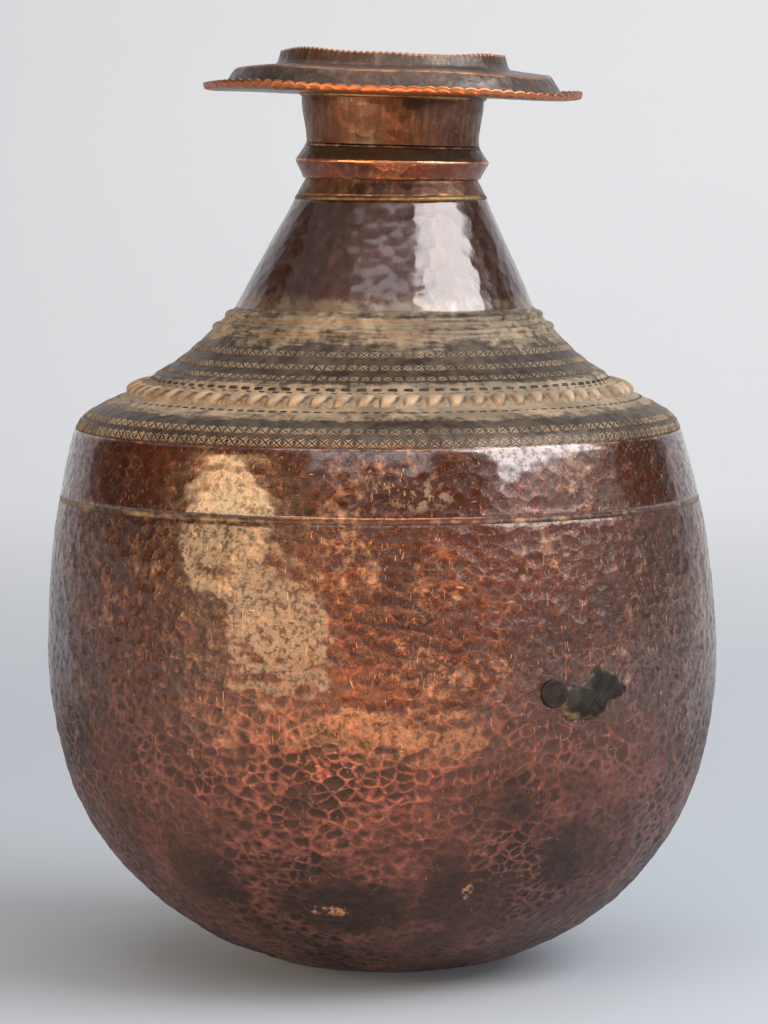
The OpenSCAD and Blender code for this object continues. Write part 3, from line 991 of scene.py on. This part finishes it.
def rough_metal(name, base, second, metallic, rough, grain, rim=None):
    """Braze, solder or packed residue: cloudy, grainy and dull, with flecks at its rim."""
    f = Finish(name)
    t, place = f.t, f.place
    patina = f.group("Old Patina", patina_group, Place=place, Scale=3.0)
    colour = t.mix(patina["Blotch"], base, second)
    colour = t.mix(t.times(patina["Mottle"], 0.4), colour, t_mid(second, (0.02, 0.015, 0.012), 0.5))
    if rim:
        amount = t.step(f.mask("rim"), 0.5, 1.0, 0.2, 0.5)
        flecks = f.group("Pale Residue", residue_group, Place=place, Amount=amount)["Mask"]
        colour = t.mix(t.times(flecks, 0.7), colour, rim)
    level = t.plus(rough, t.times(patina["Mottle"], 0.15))
    height = t.noise(place, grain, 5.0, 0.7)
    return f.set(
        Base_Color=colour, Metallic=metallic, Roughness=level, Normal=f.bump(height, 0.7, 0.0005),
    )


def seam_finish():
    """Spelter of the belly seam: tarnished as dark as the sheets, with pale flecks and pits."""
    f, c = Finish("belly_seam_spelter"), palette()
    t = f.t
    patina = f.group("Old Patina", patina_group, Place=f.place, Scale=2.0)
    flecks = f.group("Pale Residue", residue_group, Place=f.place, Amount=0.47)["Mask"]
    colour = t.mix(patina["Blotch"], t_mid(c["red"], c["dark"], 0.35), c["dark"])
    colour = t.mix(t.times(flecks, 0.8), colour, t_mid(c["spelter"], c["residue"], 0.5))
    height = t.plus(t.noise(f.place, 520.0, 5.0, 0.7), t.times(patina["Mottle"], -0.5))
    rough = t.plus(0.28, t.times(flecks, 0.3))
    return f.set(
        Base_Color=colour, Metallic=0.35, Roughness=rough, Normal=f.bump(height, 0.8, 0.0006),
    )


def finish_named(name, maker):
    return bpy.data.materials.get(name) or maker()


# ---------------------------------------------------------------- stamps


def prism(outlines, low, high):
    """Points and faces of small plates that stand from low to high, each given by its outline."""
    points, faces = [], []
    for outline in outlines:
        n, start = len(outline), len(points)
        middle = np.mean(outline, axis=0)
        top = [middle + (np.array(p) - middle) * 0.86 for p in outline]
        points += [(x, y, low) for x, y in outline] + [(x, y, high) for x, y in top]
        faces += [
            tuple(start + n + i for i in range(n)), tuple(start + i for i in reversed(range(n))),
        ]
        faces += [
            (start + i, start + (i + 1) % n, start + n + (i + 1) % n, start + n + i)
            for i in range(n)
        ]
    return points, faces


def cross_stamp():
    """Four wedges of residue round a punched cross, one unit wide."""
    wedges = []
    tip, notch, reach, half = 0.085, 0.26, 0.47, 0.345
    for a in np.radians([0, 90, 180, 270]):
        along, side = np.array([math.cos(a), math.sin(a)]), np.array([-math.sin(a), math.cos(a)])
        wedges.append([
            along * tip, along * reach - side * half, along * notch, along * reach + side * half,
        ])
    points, faces = prism([[(p[0], p[1] * 0.88) for p in w] for w in wedges], -0.06, 0.055)
    return new_object("cross_stamp", points, faces, lean=False)


def dash_stamp():
    """A short dash with rounded ends, one unit long."""
    outline = [
        (-0.36, -0.10), (0.30, -0.14), (0.40, 0.02), (0.28, 0.15), (-0.30, 0.13), (-0.42, 0.02),
    ]
    points, faces = prism([outline], -0.08, 0.035)
    return new_object("dash_stamp", points, faces, lean=False)


def boss_stamp():
    """A rounded boss with a slanting cut beside it, one unit wide. The cut and the facet
    beside it are masked for painted shade.
    """
    across, up = 14, 9
    points, cut = [], []
    for j in range(up + 1):
        for i in range(across + 1):
            x, y = i / across - 0.5, (j / up - 0.5) * 0.86
            lump = max(0.0, 1 - (2.05 * (x + 0.16 - 0.35 * y)) ** 2 - (2.0 * y) ** 2) ** 0.55
            groove = math.exp(-(((x - 0.62 * y - 0.20) / 0.085) ** 2)) * (1 - (2.1 * y) ** 4)
            facet = max(0.0, 1 - (4.2 * (x - 0.36)) ** 2 - (2.6 * (y + 0.05)) ** 2) ** 0.6
            height = 0.235 * lump + 0.11 * facet - 0.13 * max(groove, 0) - 0.02
            rim = i in (0, across) or j in (0, up)
            points.append((x, y, -0.06 if rim else height))
            # The cut mask holds the groove and the facet beside it, for painted shade.
            cut.append(min(1.0, max(groove, 0) * 1.2 + 0.45 * (facet > 0.2)))
    faces = []
    for j in range(up):
        for i in range(across):
            a = j * (across + 1) + i
            faces.append((a, a + 1, a + across + 2, a + across + 1))
    n = len(points)
    points += [(x, y, -0.09) for x, y, _ in points[:]]
    cut += [0.0] * n
    faces += [tuple(n + v for v in reversed(face)) for face in faces]
    loop = list(range(across)) + [j * (across + 1) + across for j in range(up)]
    loop += [up * (across + 1) + i for i in range(across, 0, -1)]
    loop += [j * (across + 1) for j in range(up, 0, -1)]
    for a, b in zip(loop, loop[1:] + loop[:1]):
        faces.append((b, a, n + a, n + b))
    return new_object("boss_stamp", points, faces, masks={"cut": cut}, lean=False)


def stamped(name, stamps, rows, material):
    """One object holding rows of stamps round the shoulder."""
    obj = new_object(name, [], [], lean=False)
    for stamp, r, z, lean, count, size, uneven, seed in rows:
        add_tree(
            obj, tree_named("Stamped Row", row_tree), stamp=stamps[stamp], radius=r * MM,
            height=z * MM, lean=lean, count=int(count), size=size, unevenness=uneven, seed=seed,
            material=material,
        )
    keep_result(obj)
    put_points(obj, handmade(get_points(obj)))
    return obj


def chased_residue():
    """Pale polish packed in the punched rows."""
    c = palette()
    return rough_metal(
        "chased_residue", c["residue"], t_mid(c["residue"], c["dark"], 0.6), 0.0, 0.62, 700.0,
    )


def boss_finish():
    """Cream residue on the bosses, with painted shade in their slanting cuts and beside them."""
    f, c = Finish("boss_residue"), palette()
    t = f.t
    patina = f.group("Old Patina", patina_group, Place=f.place, Scale=3.5)
    pale = tuple(min(1.0, v * 1.25) for v in c["residue"])
    colour = t.mix(patina["Blotch"], pale, t_mid(c["residue"], c["dark"], 0.45))
    colour = t.mix(t.times(patina["Mottle"], 0.35), colour, t_mid(c["residue"], c["copper"], 0.5))
    # Painted shade in the cut and on the facet beside it.
    colour = t.mix(f.mask("cut"), colour, t_mid(c["dark"], c["residue"], 0.18))
    height = t.noise(f.place, 520.0, 5.0, 0.65)
    rough = t.plus(0.55, t.times(patina["Mottle"], 0.2))
    return f.set(
        Base_Color=colour, Metallic=0.25, Roughness=rough, Normal=f.bump(height, 0.6, 0.0005),
    )


# ---------------------------------------------------------------- repair


REPAIR_TURN, REPAIR_Z = math.radians(29), 148.0
SOLDER_EDGE = [
    (0.10, 0), (0.17, 0.11), (0.32, 0.08), (0.44, 0.2), (0.53, 0.35), (0.57, 0.52), (0.61, 0.37),
    (0.75, 0.31), (0.83, 0.24), (0.86, 0.09), (0.97, 0.05), (1, -0.05), (0.86, -0.16),
    (0.71, -0.19), (0.65, -0.44), (0.53, -0.48), (0.37, -0.46), (0.21, -0.48), (0.15, -0.33),
    (0.07, -0.15),
]


def on_repair(u, v, out):
    """A point of the repair: u across and v up from the patch's middle, out from the belly."""
    z = REPAIR_Z + v
    r, _ = on_line(BOWL_WALL, z)
    r += out
    ahead = np.array([math.sin(REPAIR_TURN), -math.cos(REPAIR_TURN)])
    side = np.array([math.cos(REPAIR_TURN), math.sin(REPAIR_TURN)])
    x, y = side * u + ahead * math.sqrt(r * r - u * u)
    return (x * MM, y * MM, z * MM)


def lump_on_belly(name, edge, middle, height, rings):
    """A closed lump on the belly: edge is its outline and height its profile from 0 to 1."""
    n = len(edge)
    points = [on_repair(*middle, height(0.0, *middle))]
    for k in range(1, rings + 1):
        s = k / rings
        for u, v in edge:
            at = (middle[0] + (u - middle[0]) * s, middle[1] + (v - middle[1]) * s)
            points.append(on_repair(*at, height(s, *at)))
    points += [on_repair(u, v, -0.9) for u, v in edge] + [on_repair(*middle, -0.9)]
    last = len(points) - 1
    faces = [(0, 1 + i, 1 + (i + 1) % n) for i in range(n)]
    for k in range(rings):
        a, b = 1 + k * n, 1 + (k + 1) * n
        faces += [(a + i, b + i, b + (i + 1) % n, a + (i + 1) % n) for i in range(n)]
    faces += [(last, 1 + rings * n + (i + 1) % n, 1 + rings * n + i) for i in range(n)]
    rim = [0.0] + [k / rings for k in range(1, rings + 1) for _ in edge] + [1.0] * (n + 1)
    return new_object(name, points, faces, masks={"rim": rim})


# ---------------------------------------------------------------- operators


def done():
    return {"FINISHED"}


def hammer(obj, material, scallops=None):
    """Hammer marks on a sheet, and scallops on its free edge if given their count and depth."""
    shape = bpy.context.scene.pot_shape
    add_tree(
        obj, tree_named("Hammer Marks", hammer_tree), mark_size=shape.mark_size,
        depth=shape.mark_depth, material=material,
    )
    if scallops:
        count, depth = scallops
        add_tree(
            obj, tree_named("Scalloped Edge", scallop_tree), count=count, depth=depth,
            material=material,
        )
    return keep_result(obj)


class MakeBowl(bpy.types.Operator):
    """Makes the hammered bowl that the pot stands on"""

    bl_idname = "mesh.pot_bowl"
    bl_label = "Hammered Bowl"

    def execute(self, context):
        line = np.vstack([[[0, 0]], BOWL_WALL, BOWL_LAP])
        obj = sheet_ring(
            "hammered_bowl", line, BELLY_SIDES, 1.95, 14.0,
            marks=lambda r, z: (
                ease(z, 0.3, 8) * (1 - 0.5 * ease(z, 120, 175)) * (1 - ease(z, 223, 226))
            ),
        )
        hammer(obj, finish_named("hammered_bowl_copper", bowl_copper))
        finished(obj, ["base_bowl"])
        return done()


class MakeUpperBody(bpy.types.Operator):
    """Makes the upper sheet: its wall, its chased shoulder, its ridges and its cone"""

    bl_idname = "mesh.pot_upper_body"
    bl_label = "Upper Body"

    def execute(self, context):
        line = np.vstack([SHOULDER, [CONE_END], CONE_LAP])
        obj = sheet_ring(
            "chased_upper_body", line, BELLY_SIDES, 1.6,
            marks=lambda r, z: 0.16 * (1 - ease(z, 252, 257)) * ease(z, 228, 231)
            + 0.16 * ease(z, 259, 262) + 0.2 * ease(z, 318, 324) * (1 - ease(z, 366, 370)),
            wear=lambda r, z: 0.62 * peak_at(z, EDGE_Z, 0.8) + 0.35 * peak_at(z, 306, 1.2),
        )
        hammer(obj, finish_named("chased_body_copper", body_copper))
        finished(obj, ["upper_body"])
        return done()


class ChaseShoulder(bpy.types.Operator):
    """Punches the rows of crosses and dashes and raises the bosses round the shoulder"""

    bl_idname = "mesh.pot_chasing"
    bl_label = "Chased Rows and Bosses"

    def execute(self, context):
        shape = context.scene.pot_shape
        stamps = {"cross": cross_stamp(), "dash": dash_stamp(), "boss": boss_stamp()}

        def at(z):
            return on_line(SHOULDER, z)

        rows, seed = [], 3
        for z, pitch, size in (
            (298.6, 0.97, 0.98), (292.9, 0.97, 1.0), (288.3, 0.97, 0.92), (266.6, 1.05, 1.02),
            (261.7, 1.05, 1.06),
        ):
            r, lean = at(z)
            count = round(2 * math.pi * r * MM / (shape.cross_pitch * pitch))
            rows.append(("cross", r, z, lean, count, shape.cross_size * size, 0.07, seed))
            seed += 1
        dashes = []
        for z, pitch, size in (
            (283.6, 7.2, 0.0066), (282.2, 7.2, 0.0040), (274.4, 5.5, 0.0048), (271.6, 3.4, 0.0026),
        ):
            r, lean = at(z)
            made = (
                "cross" if size < 0.003 else "dash", r, z, lean, round(2 * math.pi * r / pitch),
                size, 0.1, seed,
            )
            (rows if size < 0.003 else dashes).append(made)
            seed += 1
        residue = finish_named("chased_residue", chased_residue)
        finished(stamped("punched_crosses", stamps, rows, residue), [], smooth=False)
        c = palette()
        # The dashes are dark plates: dark patina and painted shade, standing for their punched pits.
        dark = rough_metal(
            "punched_dark", t_mid(c["dark"], c["residue"], 0.16), c["dark"], 0.3, 0.5, 500.0,
        )
        finished(stamped("punched_dashes", stamps, dashes, dark), [], smooth=False)
        middle = (BOSS_FOOT + BOSS_TOP) / 2
        lean = math.atan2(9.2, 5.1)
        pitch = 2 * math.pi * middle[0] * MM / shape.boss_count
        cream = finish_named("boss_residue", boss_finish)
        bosses = [
            ("boss", middle[0] + 0.45, middle[1] + 0.8, lean, shape.boss_count, pitch * 0.985,
             0.05, 41),
        ]
        finished(stamped("shoulder_bosses", stamps, bosses, cream), [])
        for stamp in stamps.values():
            mesh = stamp.data
            bpy.data.objects.remove(stamp)
            bpy.data.meshes.remove(mesh)
        return done()


class MakeNeck(bpy.types.Operator):
    """Makes the neck sheet and the folded band round its foot"""

    bl_idname = "mesh.pot_neck"
    bl_label = "Neck and Band"

    def execute(self, context):
        c = palette()
        trumpet = curve(
            [NECK_R, CAP_Z], [NECK_R + 2.26, CAP_Z + 4.41], MOUTH_LAP[0] - [3.955, 2.94],
            MOUTH_LAP[0], 10,
        )
        line = np.vstack([NECK, trumpet, [MOUTH_LAP[1]]])
        obj = sheet_ring(
            "neck_sheet", line, NECK_SIDES, 1.3, 3.0,
            marks=lambda r, z: (
                0.34 * ease(z, BAND_Z + 2, BAND_Z + 6) * (1 - ease(z, BRIM_Z - 5, BRIM_Z))
            ),
            wear=lambda r, z: 0.5 * peak_at(z, NECK_Z, 1.5),
        )
        material = plain_copper(
            "mottled_neck_copper", (0.135, 0.050, 0.018), (0.040, 0.015, 0.007),
            c["copper"], 0.32, 0.10,
        )
        hammer(obj, material)
        finished(obj, ["neck_tube"])

        t, low, peak = THROAT_R, THROAT_Z, THROAT_Z + 0.56 * 14.9
        section = [
            [t, low], [t + 1.2, low], [t + 3.2, low + 4.2], [t + 4.9, peak - 0.9], [t + 5.1, peak],
            [t + 4.6, peak + 0.8], [t + 2.6, peak + 3.6], [t + 0.72, BAND_Z], [t, BAND_Z],
            [t, BAND_Z - 3.12], [t + 5.1 - 1.56, peak], [t, low + 1.56],
        ]
        section = np.array(section)
        outline = np.vstack([spaced(section[:8], 1.0), section[8:]])
        wear = 0.9 * peak_at(outline[:, 1], peak, 0.8) + 0.4 * (outline[:, 1] < low + 1)
        zero = np.zeros(len(outline))
        # The band is made darker above the crest of its fold.
        upper_half = ease(outline[:, 1], peak - 1, peak + 0.5)
        masks = {"marks": 0.12 + zero, "wear": wear, "inside": zero, "soil": upper_half}
        obj = turned("folded_neck_band", outline, NECK_SIDES, masks)
        material = plain_copper(
            "folded_band_copper", (0.150, 0.044, 0.026), (0.065, 0.021, 0.013),
            c["copper"], 0.26, 0.14, soil=True,
        )
        hammer(obj, material)
        finished(obj, ["neck_band"])
        return done()


class MakeRim(bpy.types.Operator):
    """Makes the scalloped brim and the hollow stepped cap with its mouth"""

    bl_idname = "mesh.pot_rim"
    bl_label = "Brim and Cap"

    def execute(self, context):
        c, shape = palette(), context.scene.pot_shape
        obj = sheet_ring(
            "scalloped_brim", BRIM, BRIM_SIDES, 1.1, 1.3,
            marks=lambda r, z: 0.2 * ease(r, 48, 54) * (1 - ease(r, 82, 86)),
            wear=lambda r, z: ease(r, BRIM_R - 3.4, BRIM_R - 1.2) * 1.1,
            edge=lambda r, z: ease(r, BRIM_R - 2.6, BRIM_R - 0.4),
        )
        green = t_mid(c["dark"], (0.16, 0.20, 0.13), 0.55)
        material = plain_copper(
            "brim_copper", (0.080, 0.040, 0.030), (0.045, 0.040, 0.032),
            (0.46, 0.17, 0.075), 0.32, 0.2, inside_colour=green,
        )
        hammer(obj, material, (shape.scallop_count, shape.scallop_depth))
        finished(obj, ["brim_plate"])

        obj = sheet_ring(
            "hollow_rim_cap", CAP, CAP_SIDES, 1.3, 2.5,
            marks=lambda r, z: (
                0.28 * ease(z, CAP_Z + 1, CAP_Z + 3)
                * (1 - ease(z, COLLAR_FOOT[1] - 2, COLLAR_FOOT[1]))
            ),
            wear=lambda r, z: (
                0.62 * peak_at(z, CAP_TOP[1], 1.1) * (r > CAP_TOP[0] - 2.2)
                + 0.95 * ease(z, COLLAR_TOP[1] - 1.6, COLLAR_TOP[1] - 0.3)
            ),
            edge=lambda r, z: ease(z, COLLAR_TOP[1] - 2.2, COLLAR_TOP[1] - 0.4),
        )
        material = plain_copper(
            "cap_copper", (0.115, 0.062, 0.045), (0.060, 0.045, 0.038),
            t_mid(c["copper"], c["red"], 0.3), 0.34, 0.24,
        )
        hammer(obj, material, (MOUTH_SCALLOPS, shape.scallop_depth * 0.75))
        finished(obj, ["rim_cap"])
        return done()


class MakeBrazes(bpy.types.Operator):
    """Runs brass into the laps and corners between the sheets, with flecks left along them"""

    bl_idname = "mesh.pot_brazes"
    bl_label = "Brazed Seams"

    def execute(self, context):
        c = palette()
        brass = rough_metal(
            "spelter", c["spelter"], t_mid(c["spelter"], c["dark"], 0.75), 0.85, 0.45, 520.0,
        )
        seam = seam_finish()
        t, n, cz = THROAT_R, NECK_R, CAP_Z
        sections = {
            "body_braze": (
                [wall_at(SEAM_Z - JOGGLE)], BOWL_LAP, beside(SHOULDER, WALL)[:3][::-1],
                [SHOULDER[0], (np.array(wall_at(SEAM_Z - JOGGLE)) + SHOULDER[0]) / 2 + [0.12, 0]],
            ),
            "neck_braze": (
                [CONE_END], CONE_LAP, beside(NECK, WALL)[:4][::-1],
                [NECK[0], (CONE_END + NECK[0]) / 2 + [0.3, 0]],
            ),
            "band_braze": ([[t, BAND_Z], [t + 0.72, BAND_Z], [t, BAND_Z + 1.482]],),
            "brim_braze": (
                [[n, BRIM_Z - 1.6], [n + 1.8, BRIM_Z], [n + 0.2, BRIM_Z], [n + 0.2, cz], [n, cz]],
            ),
            "cap_braze": ([[CAP_R, cz], [CAP_R + 1.6, cz], [CAP_R, cz + 1.6]],),
            "mouth_braze": (MOUTH_LAP, beside(CAP, WALL)[-2:][::-1]),
        }
        names = {
            "body_braze": ("belly_seam_braze", 9000, 0.0008),
            "neck_braze": ("neck_foot_braze", 26000, 0.0005),
            "band_braze": ("band_top_braze", 40000, 0.0004),
            "brim_braze": ("brim_neck_braze", 60000, 0.0009),
            "cap_braze": ("cap_foot_braze", 30000, 0.0005),
            "mouth_braze": ("mouth_lap_braze", 0, 0.0005),
        }
        for node, parts in sections.items():
            name, density, size = names[node]
            obj = turned(name, np.vstack(parts), 256)
            metal = seam if node in ("body_braze", "band_braze", "cap_braze") else brass
            run_tree(
                obj, tree_named("Flecks", fleck_tree), density=density, size=size, seed=7,
                material=metal,
            )
            finished(obj, [node])
        return done()


class MakeRepair(bpy.types.Operator):
    """Solders a small disc to the belly, with a smear of solder round it"""

    bl_idname = "mesh.pot_repair"
    bl_label = "Soldered Patch"

    def execute(self, context):
        c = palette()
        rng = np.random.default_rng(5)
        edge = []
        for a, b in zip(SOLDER_EDGE, SOLDER_EDGE[1:] + SOLDER_EDGE[:1]):
            edge += [
                ((a[0] + (b[0] - a[0]) * s) * SOLDER_WIDTH,
                 (a[1] + (b[1] - a[1]) * s) * SOLDER_HEIGHT)
                for s in (0, 0.25, 0.5, 0.75)
            ]
        for _ in range(2):
            edge = [
                ((a[0] + b[0]) / 2, (a[1] + b[1]) / 2) for a, b in zip(edge, edge[1:] + edge[:1])
            ]
        jag = rng.normal(0, 0.22, (len(edge), 2))
        edge = [(u - SOLDER_SHIFT + du, v + dv) for (u, v), (du, dv) in zip(edge, jag)]

        def solder_height(s, u, v):
            lumps = 0.20 * math.sin(0.75 * u + 0.8) * math.cos(0.9 * v)
            lumps += 0.13 * math.sin(1.9 * u - 1.4 * v)
            return -0.7 if s >= 1 else 0.8 * (1 - s**4) + 0.25 + lumps

        metal = rough_metal(
            "old_solder", c["solder"], (0.062, 0.060, 0.053), 0.85, 0.55, 330.0, rim=c["residue"])
        obj = lump_on_belly("solder_blob", edge[::-1], (25.3, -1.0), solder_height, 11)
        finished(obj, ["repair_solder"], metal)

        round_edge = [
            (PATCH_R * math.cos(a) * (1 + 0.03 * math.sin(3 * a)), PATCH_R * math.sin(a))
            for a in np.arange(64) * math.pi / 32
        ]

        def patch_height(s, u, v):
            ring = 0.5 * math.exp(-(((s - 0.88) / 0.07) ** 2))
            return -0.7 if s >= 1 else 1.0 + ring - 0.5 * (1 - s * s)

        dark = rough_metal("patch_metal", c["solder"], (0.050, 0.046, 0.042), 0.85, 0.45, 600.0)
        obj = lump_on_belly("patch_disc", round_edge, (0.0, 0.0), patch_height, 14)
        finished(obj, ["repair_patch"], dark)
        return done()


# ---------------------------------------------------------------- stage


CAMERA_AT, CAMERA_DOWN, CAMERA_LENS = (0, -2.160, 0.411), math.radians(5.10), 158.2

# Turn from the front to the right and height in degrees, distance, width, length, watts,
# colour, the place that the light is aimed at, and its shape.
LIGHTS = {
    "window_light": (68, 36, 1.9, 1.7, 1.15, 44, (0.97, 0.99, 1.0), (0, 0, 0.30), "RECTANGLE"),
    "grey_panel": (-3, 35, 2.0, 1.5, 1.0, 9, (0.93, 0.94, 1.0), (0, 0, 0.30), "RECTANGLE"),
    "warm_panel": (-52, 11, 1.7, 1.05, 0.50, 10.2, (1.0, 0.70, 0.38), (0, 0, 0.22), "ELLIPSE"),
    "warm_panel_low": (-33, -1, 1.7, 0.95, 0.42, 7.8, (1.0, 0.70, 0.38), (0, 0, 0.22), "ELLIPSE"),
    "warm_floor_light": (0, 0, 0.5, 0.60, 0.40, 5.2, (1.0, 0.42, 0.14), (0, 0, 0.2), "ELLIPSE"),
    "top_light": (0, 88, 2.3, 2.6, 2.6, 25, (1.0, 0.98, 0.95), (0, 0, 0.2), "RECTANGLE"),
    "backdrop_light": (180, 30, 3.0, 3.0, 1.0, 84, (1.0, 0.995, 0.98), (0, 0, 1.6), "RECTANGLE"),
}


def aim(obj, place, target):
    obj.location = place
    obj.rotation_mode = "QUATERNION"
    obj.rotation_quaternion = (Vector(target) - Vector(place)).to_track_quat("-Z", "Y")


def panel_light(name, turn, high, distance, width, height, power, colour, target, shape):
    """A soft light that the camera doesn't see."""
    a, e = math.radians(turn), math.radians(high)
    place = Vector(target) + distance * Vector(
        (math.sin(a) * math.cos(e), -math.cos(a) * math.cos(e), math.sin(e))
    )
    light = bpy.data.lights.new(name, "AREA")
    light.shape, light.size, light.size_y = shape, width, height
    light.energy, light.color = power, colour
    obj = bpy.data.objects.new(name, light)
    bpy.context.scene.collection.objects.link(obj)
    aim(obj, place, target)
    obj.visible_camera = False
    return obj


def paper_finish():
    f = Finish("pale_paper")
    t = f.t
    base = tuple(bpy.context.scene.pot_finish.backdrop)
    cloud = t.noise(f.place, 1.1, 3.0)
    colour = t.mix(cloud, t_mid(base, (0, 0, 0), 0.04), t_mid(base, (1, 1, 1), 0.04))
    # Painted shade: the floor near the pot is darker than the backdrop, fading to the backdrop's
    # colour further off.
    floor = tuple(v * k for v, k in zip(base, (0.60, 0.635, 0.675)))
    far = t.vector("LENGTH", t.stretched(f.place, 1, 1, 0))
    colour = t.mix(t.step(far, 0.45, 2.9), floor, colour)
    # Painted shade: darker towards the left, the shadow side.
    painted_shade_left = t.step(t.split(f.place)[0], -1.3, 1.0, 0.16, 0.0)
    colour = t.mix(painted_shade_left, colour, (0.02, 0.02, 0.025))
    # The paper also glows faintly in its own colour: painted light.
    return f.set(Base_Color=colour, Roughness=0.85, Specular_IOR_Level=0.25,
                 Emission_Color=colour, Emission_Strength=0.10,
                 Normal=f.bump(t.noise(f.place, 900.0, 2.0), 0.05, 0.0005))


def black_finish():
    f = Finish("black_cloth")
    t = f.t
    colour = t.mix(t.noise(f.place, 20.0), (0.006, 0.005, 0.005), (0.012, 0.010, 0.010))
    return f.set(Base_Color=colour, Roughness=0.95)


class BuildStage(bpy.types.Operator):
    """Sets up the pale backdrop, the soft lights and the camera"""

    bl_idname = "scene.pot_stage"
    bl_label = "Stage"

    def execute(self, context):
        scene = context.scene
        bend = [
            (3.2 + 2.6 * math.sin(a), 2.6 - 2.6 * math.cos(a))
            for a in np.linspace(0, math.pi / 2, 20)
        ]
        line = [(0.001, 0.0), (0.6, 0), (2.0, 0), (2.8, 0)] + bend + [(5.8, 3.2), (5.8, 4.4)]
        around = 96
        turns = np.arange(around) * 2 * math.pi / around
        points = [(r * math.cos(a), r * math.sin(a), z) for r, z in line for a in turns]
        points = [(0.0, 0.0, 0.0)] + points[around:]
        faces = [(0, 1 + j, 1 + (j + 1) % around) for j in range(around)]
        for i in range(len(line) - 2):
            a, b = 1 + i * around, 1 + (i + 1) * around
            faces += [
                (a + j, b + j, b + (j + 1) % around, a + (j + 1) % around) for j in range(around)
            ]
        paper = new_object("paper_sweep", points, faces, lean=False)
        paper.data.materials.append(paper_finish())

        # Black cards round the room and a black mat on the floor in front, seen only in reflections:
        # they paint dark reflections into the pot.
        steps = 24
        card = [
            (4.6 * math.sin(a), -4.6 * math.cos(a), z)
            for z in (0.02, 3.2) for a in np.radians(np.linspace(-128, 40, steps))
        ]
        side = [(4.4 * math.sin(a), -4.4 * math.cos(a), z) for a, z in np.array(
            [(1.72, 0.02), (2.02, 0.02), (2.32, 0.02), (2.32, 3.0), (2.02, 3.0), (1.72, 3.0)])]
        faces = [(i, i + 1, i + steps + 1, i + steps) for i in range(steps - 1)]
        mat = [(-1.9, -4.3, 0.003), (1.9, -4.3, 0.003), (1.1, -0.95, 0.003), (-1.1, -0.95, 0.003)]
        for corners in ((0, 1, 2, 3), (4, 5, 8, 9), (5, 6, 7, 8)):
            faces.append(tuple(2 * steps + corner for corner in corners))
        dark = new_object("black_cards", card + mat + side, faces, lean=False)
        dark.data.materials.append(black_finish())
        dark.visible_camera = dark.visible_diffuse = dark.visible_shadow = False

        lights = {name: panel_light(name, *row) for name, row in LIGHTS.items()}
        aim(lights["warm_floor_light"], (0.02, -0.49, 0.006), (0.02, -0.44, 1.0))
        aim(lights["backdrop_light"], (0, 2.4, 3.4), (0, 5.6, 1.2))
        scene.view_settings.view_transform = "Standard"

        world = bpy.data.worlds.new("studio_air")
        world.use_nodes = True
        background = world.node_tree.nodes["Background"]
        background.inputs["Color"].default_value = (0.92, 0.95, 1.0, 1)
        background.inputs["Strength"].default_value = 0.25
        scene.world = world

        lens = bpy.data.cameras.new("camera")
        lens.sensor_fit, lens.sensor_width, lens.lens = "AUTO", 36, CAMERA_LENS
        lens.clip_start, lens.clip_end = 0.05, 50
        camera = bpy.data.objects.new("camera", lens)
        scene.collection.objects.link(camera)
        ahead = Vector((0, math.cos(CAMERA_DOWN), -math.sin(CAMERA_DOWN)))
        aim(camera, CAMERA_AT, Vector(CAMERA_AT) + ahead)
        scene.camera = camera
        return done()


# ---------------------------------------------------------------- panel


OPERATORS = (
    MakeBowl, MakeUpperBody, ChaseShoulder, MakeNeck, MakeRim, MakeBrazes, MakeRepair, BuildStage,
)


class PotPanel(bpy.types.Panel):
    """Lists the pot's sizes, colours and steps"""

    bl_idname = "VIEW3D_PT_water_pot"
    bl_label = "Water Pot"
    bl_space_type = "VIEW_3D"
    bl_region_type = "UI"
    bl_category = "Water Pot"

    def draw(self, context):
        for group in (context.scene.pot_shape, context.scene.pot_finish):
            box = self.layout.box()
            for name in type(group).__annotations__:
                box.prop(group, name)
        for operator in OPERATORS:
            self.layout.operator(operator.bl_idname)


CLASSES = (PotShape, PotFinish, *OPERATORS, PotPanel)


def register():
    for cls in CLASSES:
        bpy.utils.register_class(cls)
    bpy.types.Scene.pot_shape = bpy.props.PointerProperty(type=PotShape)
    bpy.types.Scene.pot_finish = bpy.props.PointerProperty(type=PotFinish)


def unregister():
    del bpy.types.Scene.pot_finish
    del bpy.types.Scene.pot_shape
    for cls in reversed(CLASSES):
        bpy.utils.unregister_class(cls)


def main():
    register()
    for operator in OPERATORS:
        group, name = operator.bl_idname.split(".")
        getattr(getattr(bpy.ops, group), name)()


if __name__ == "__main__":
    main()
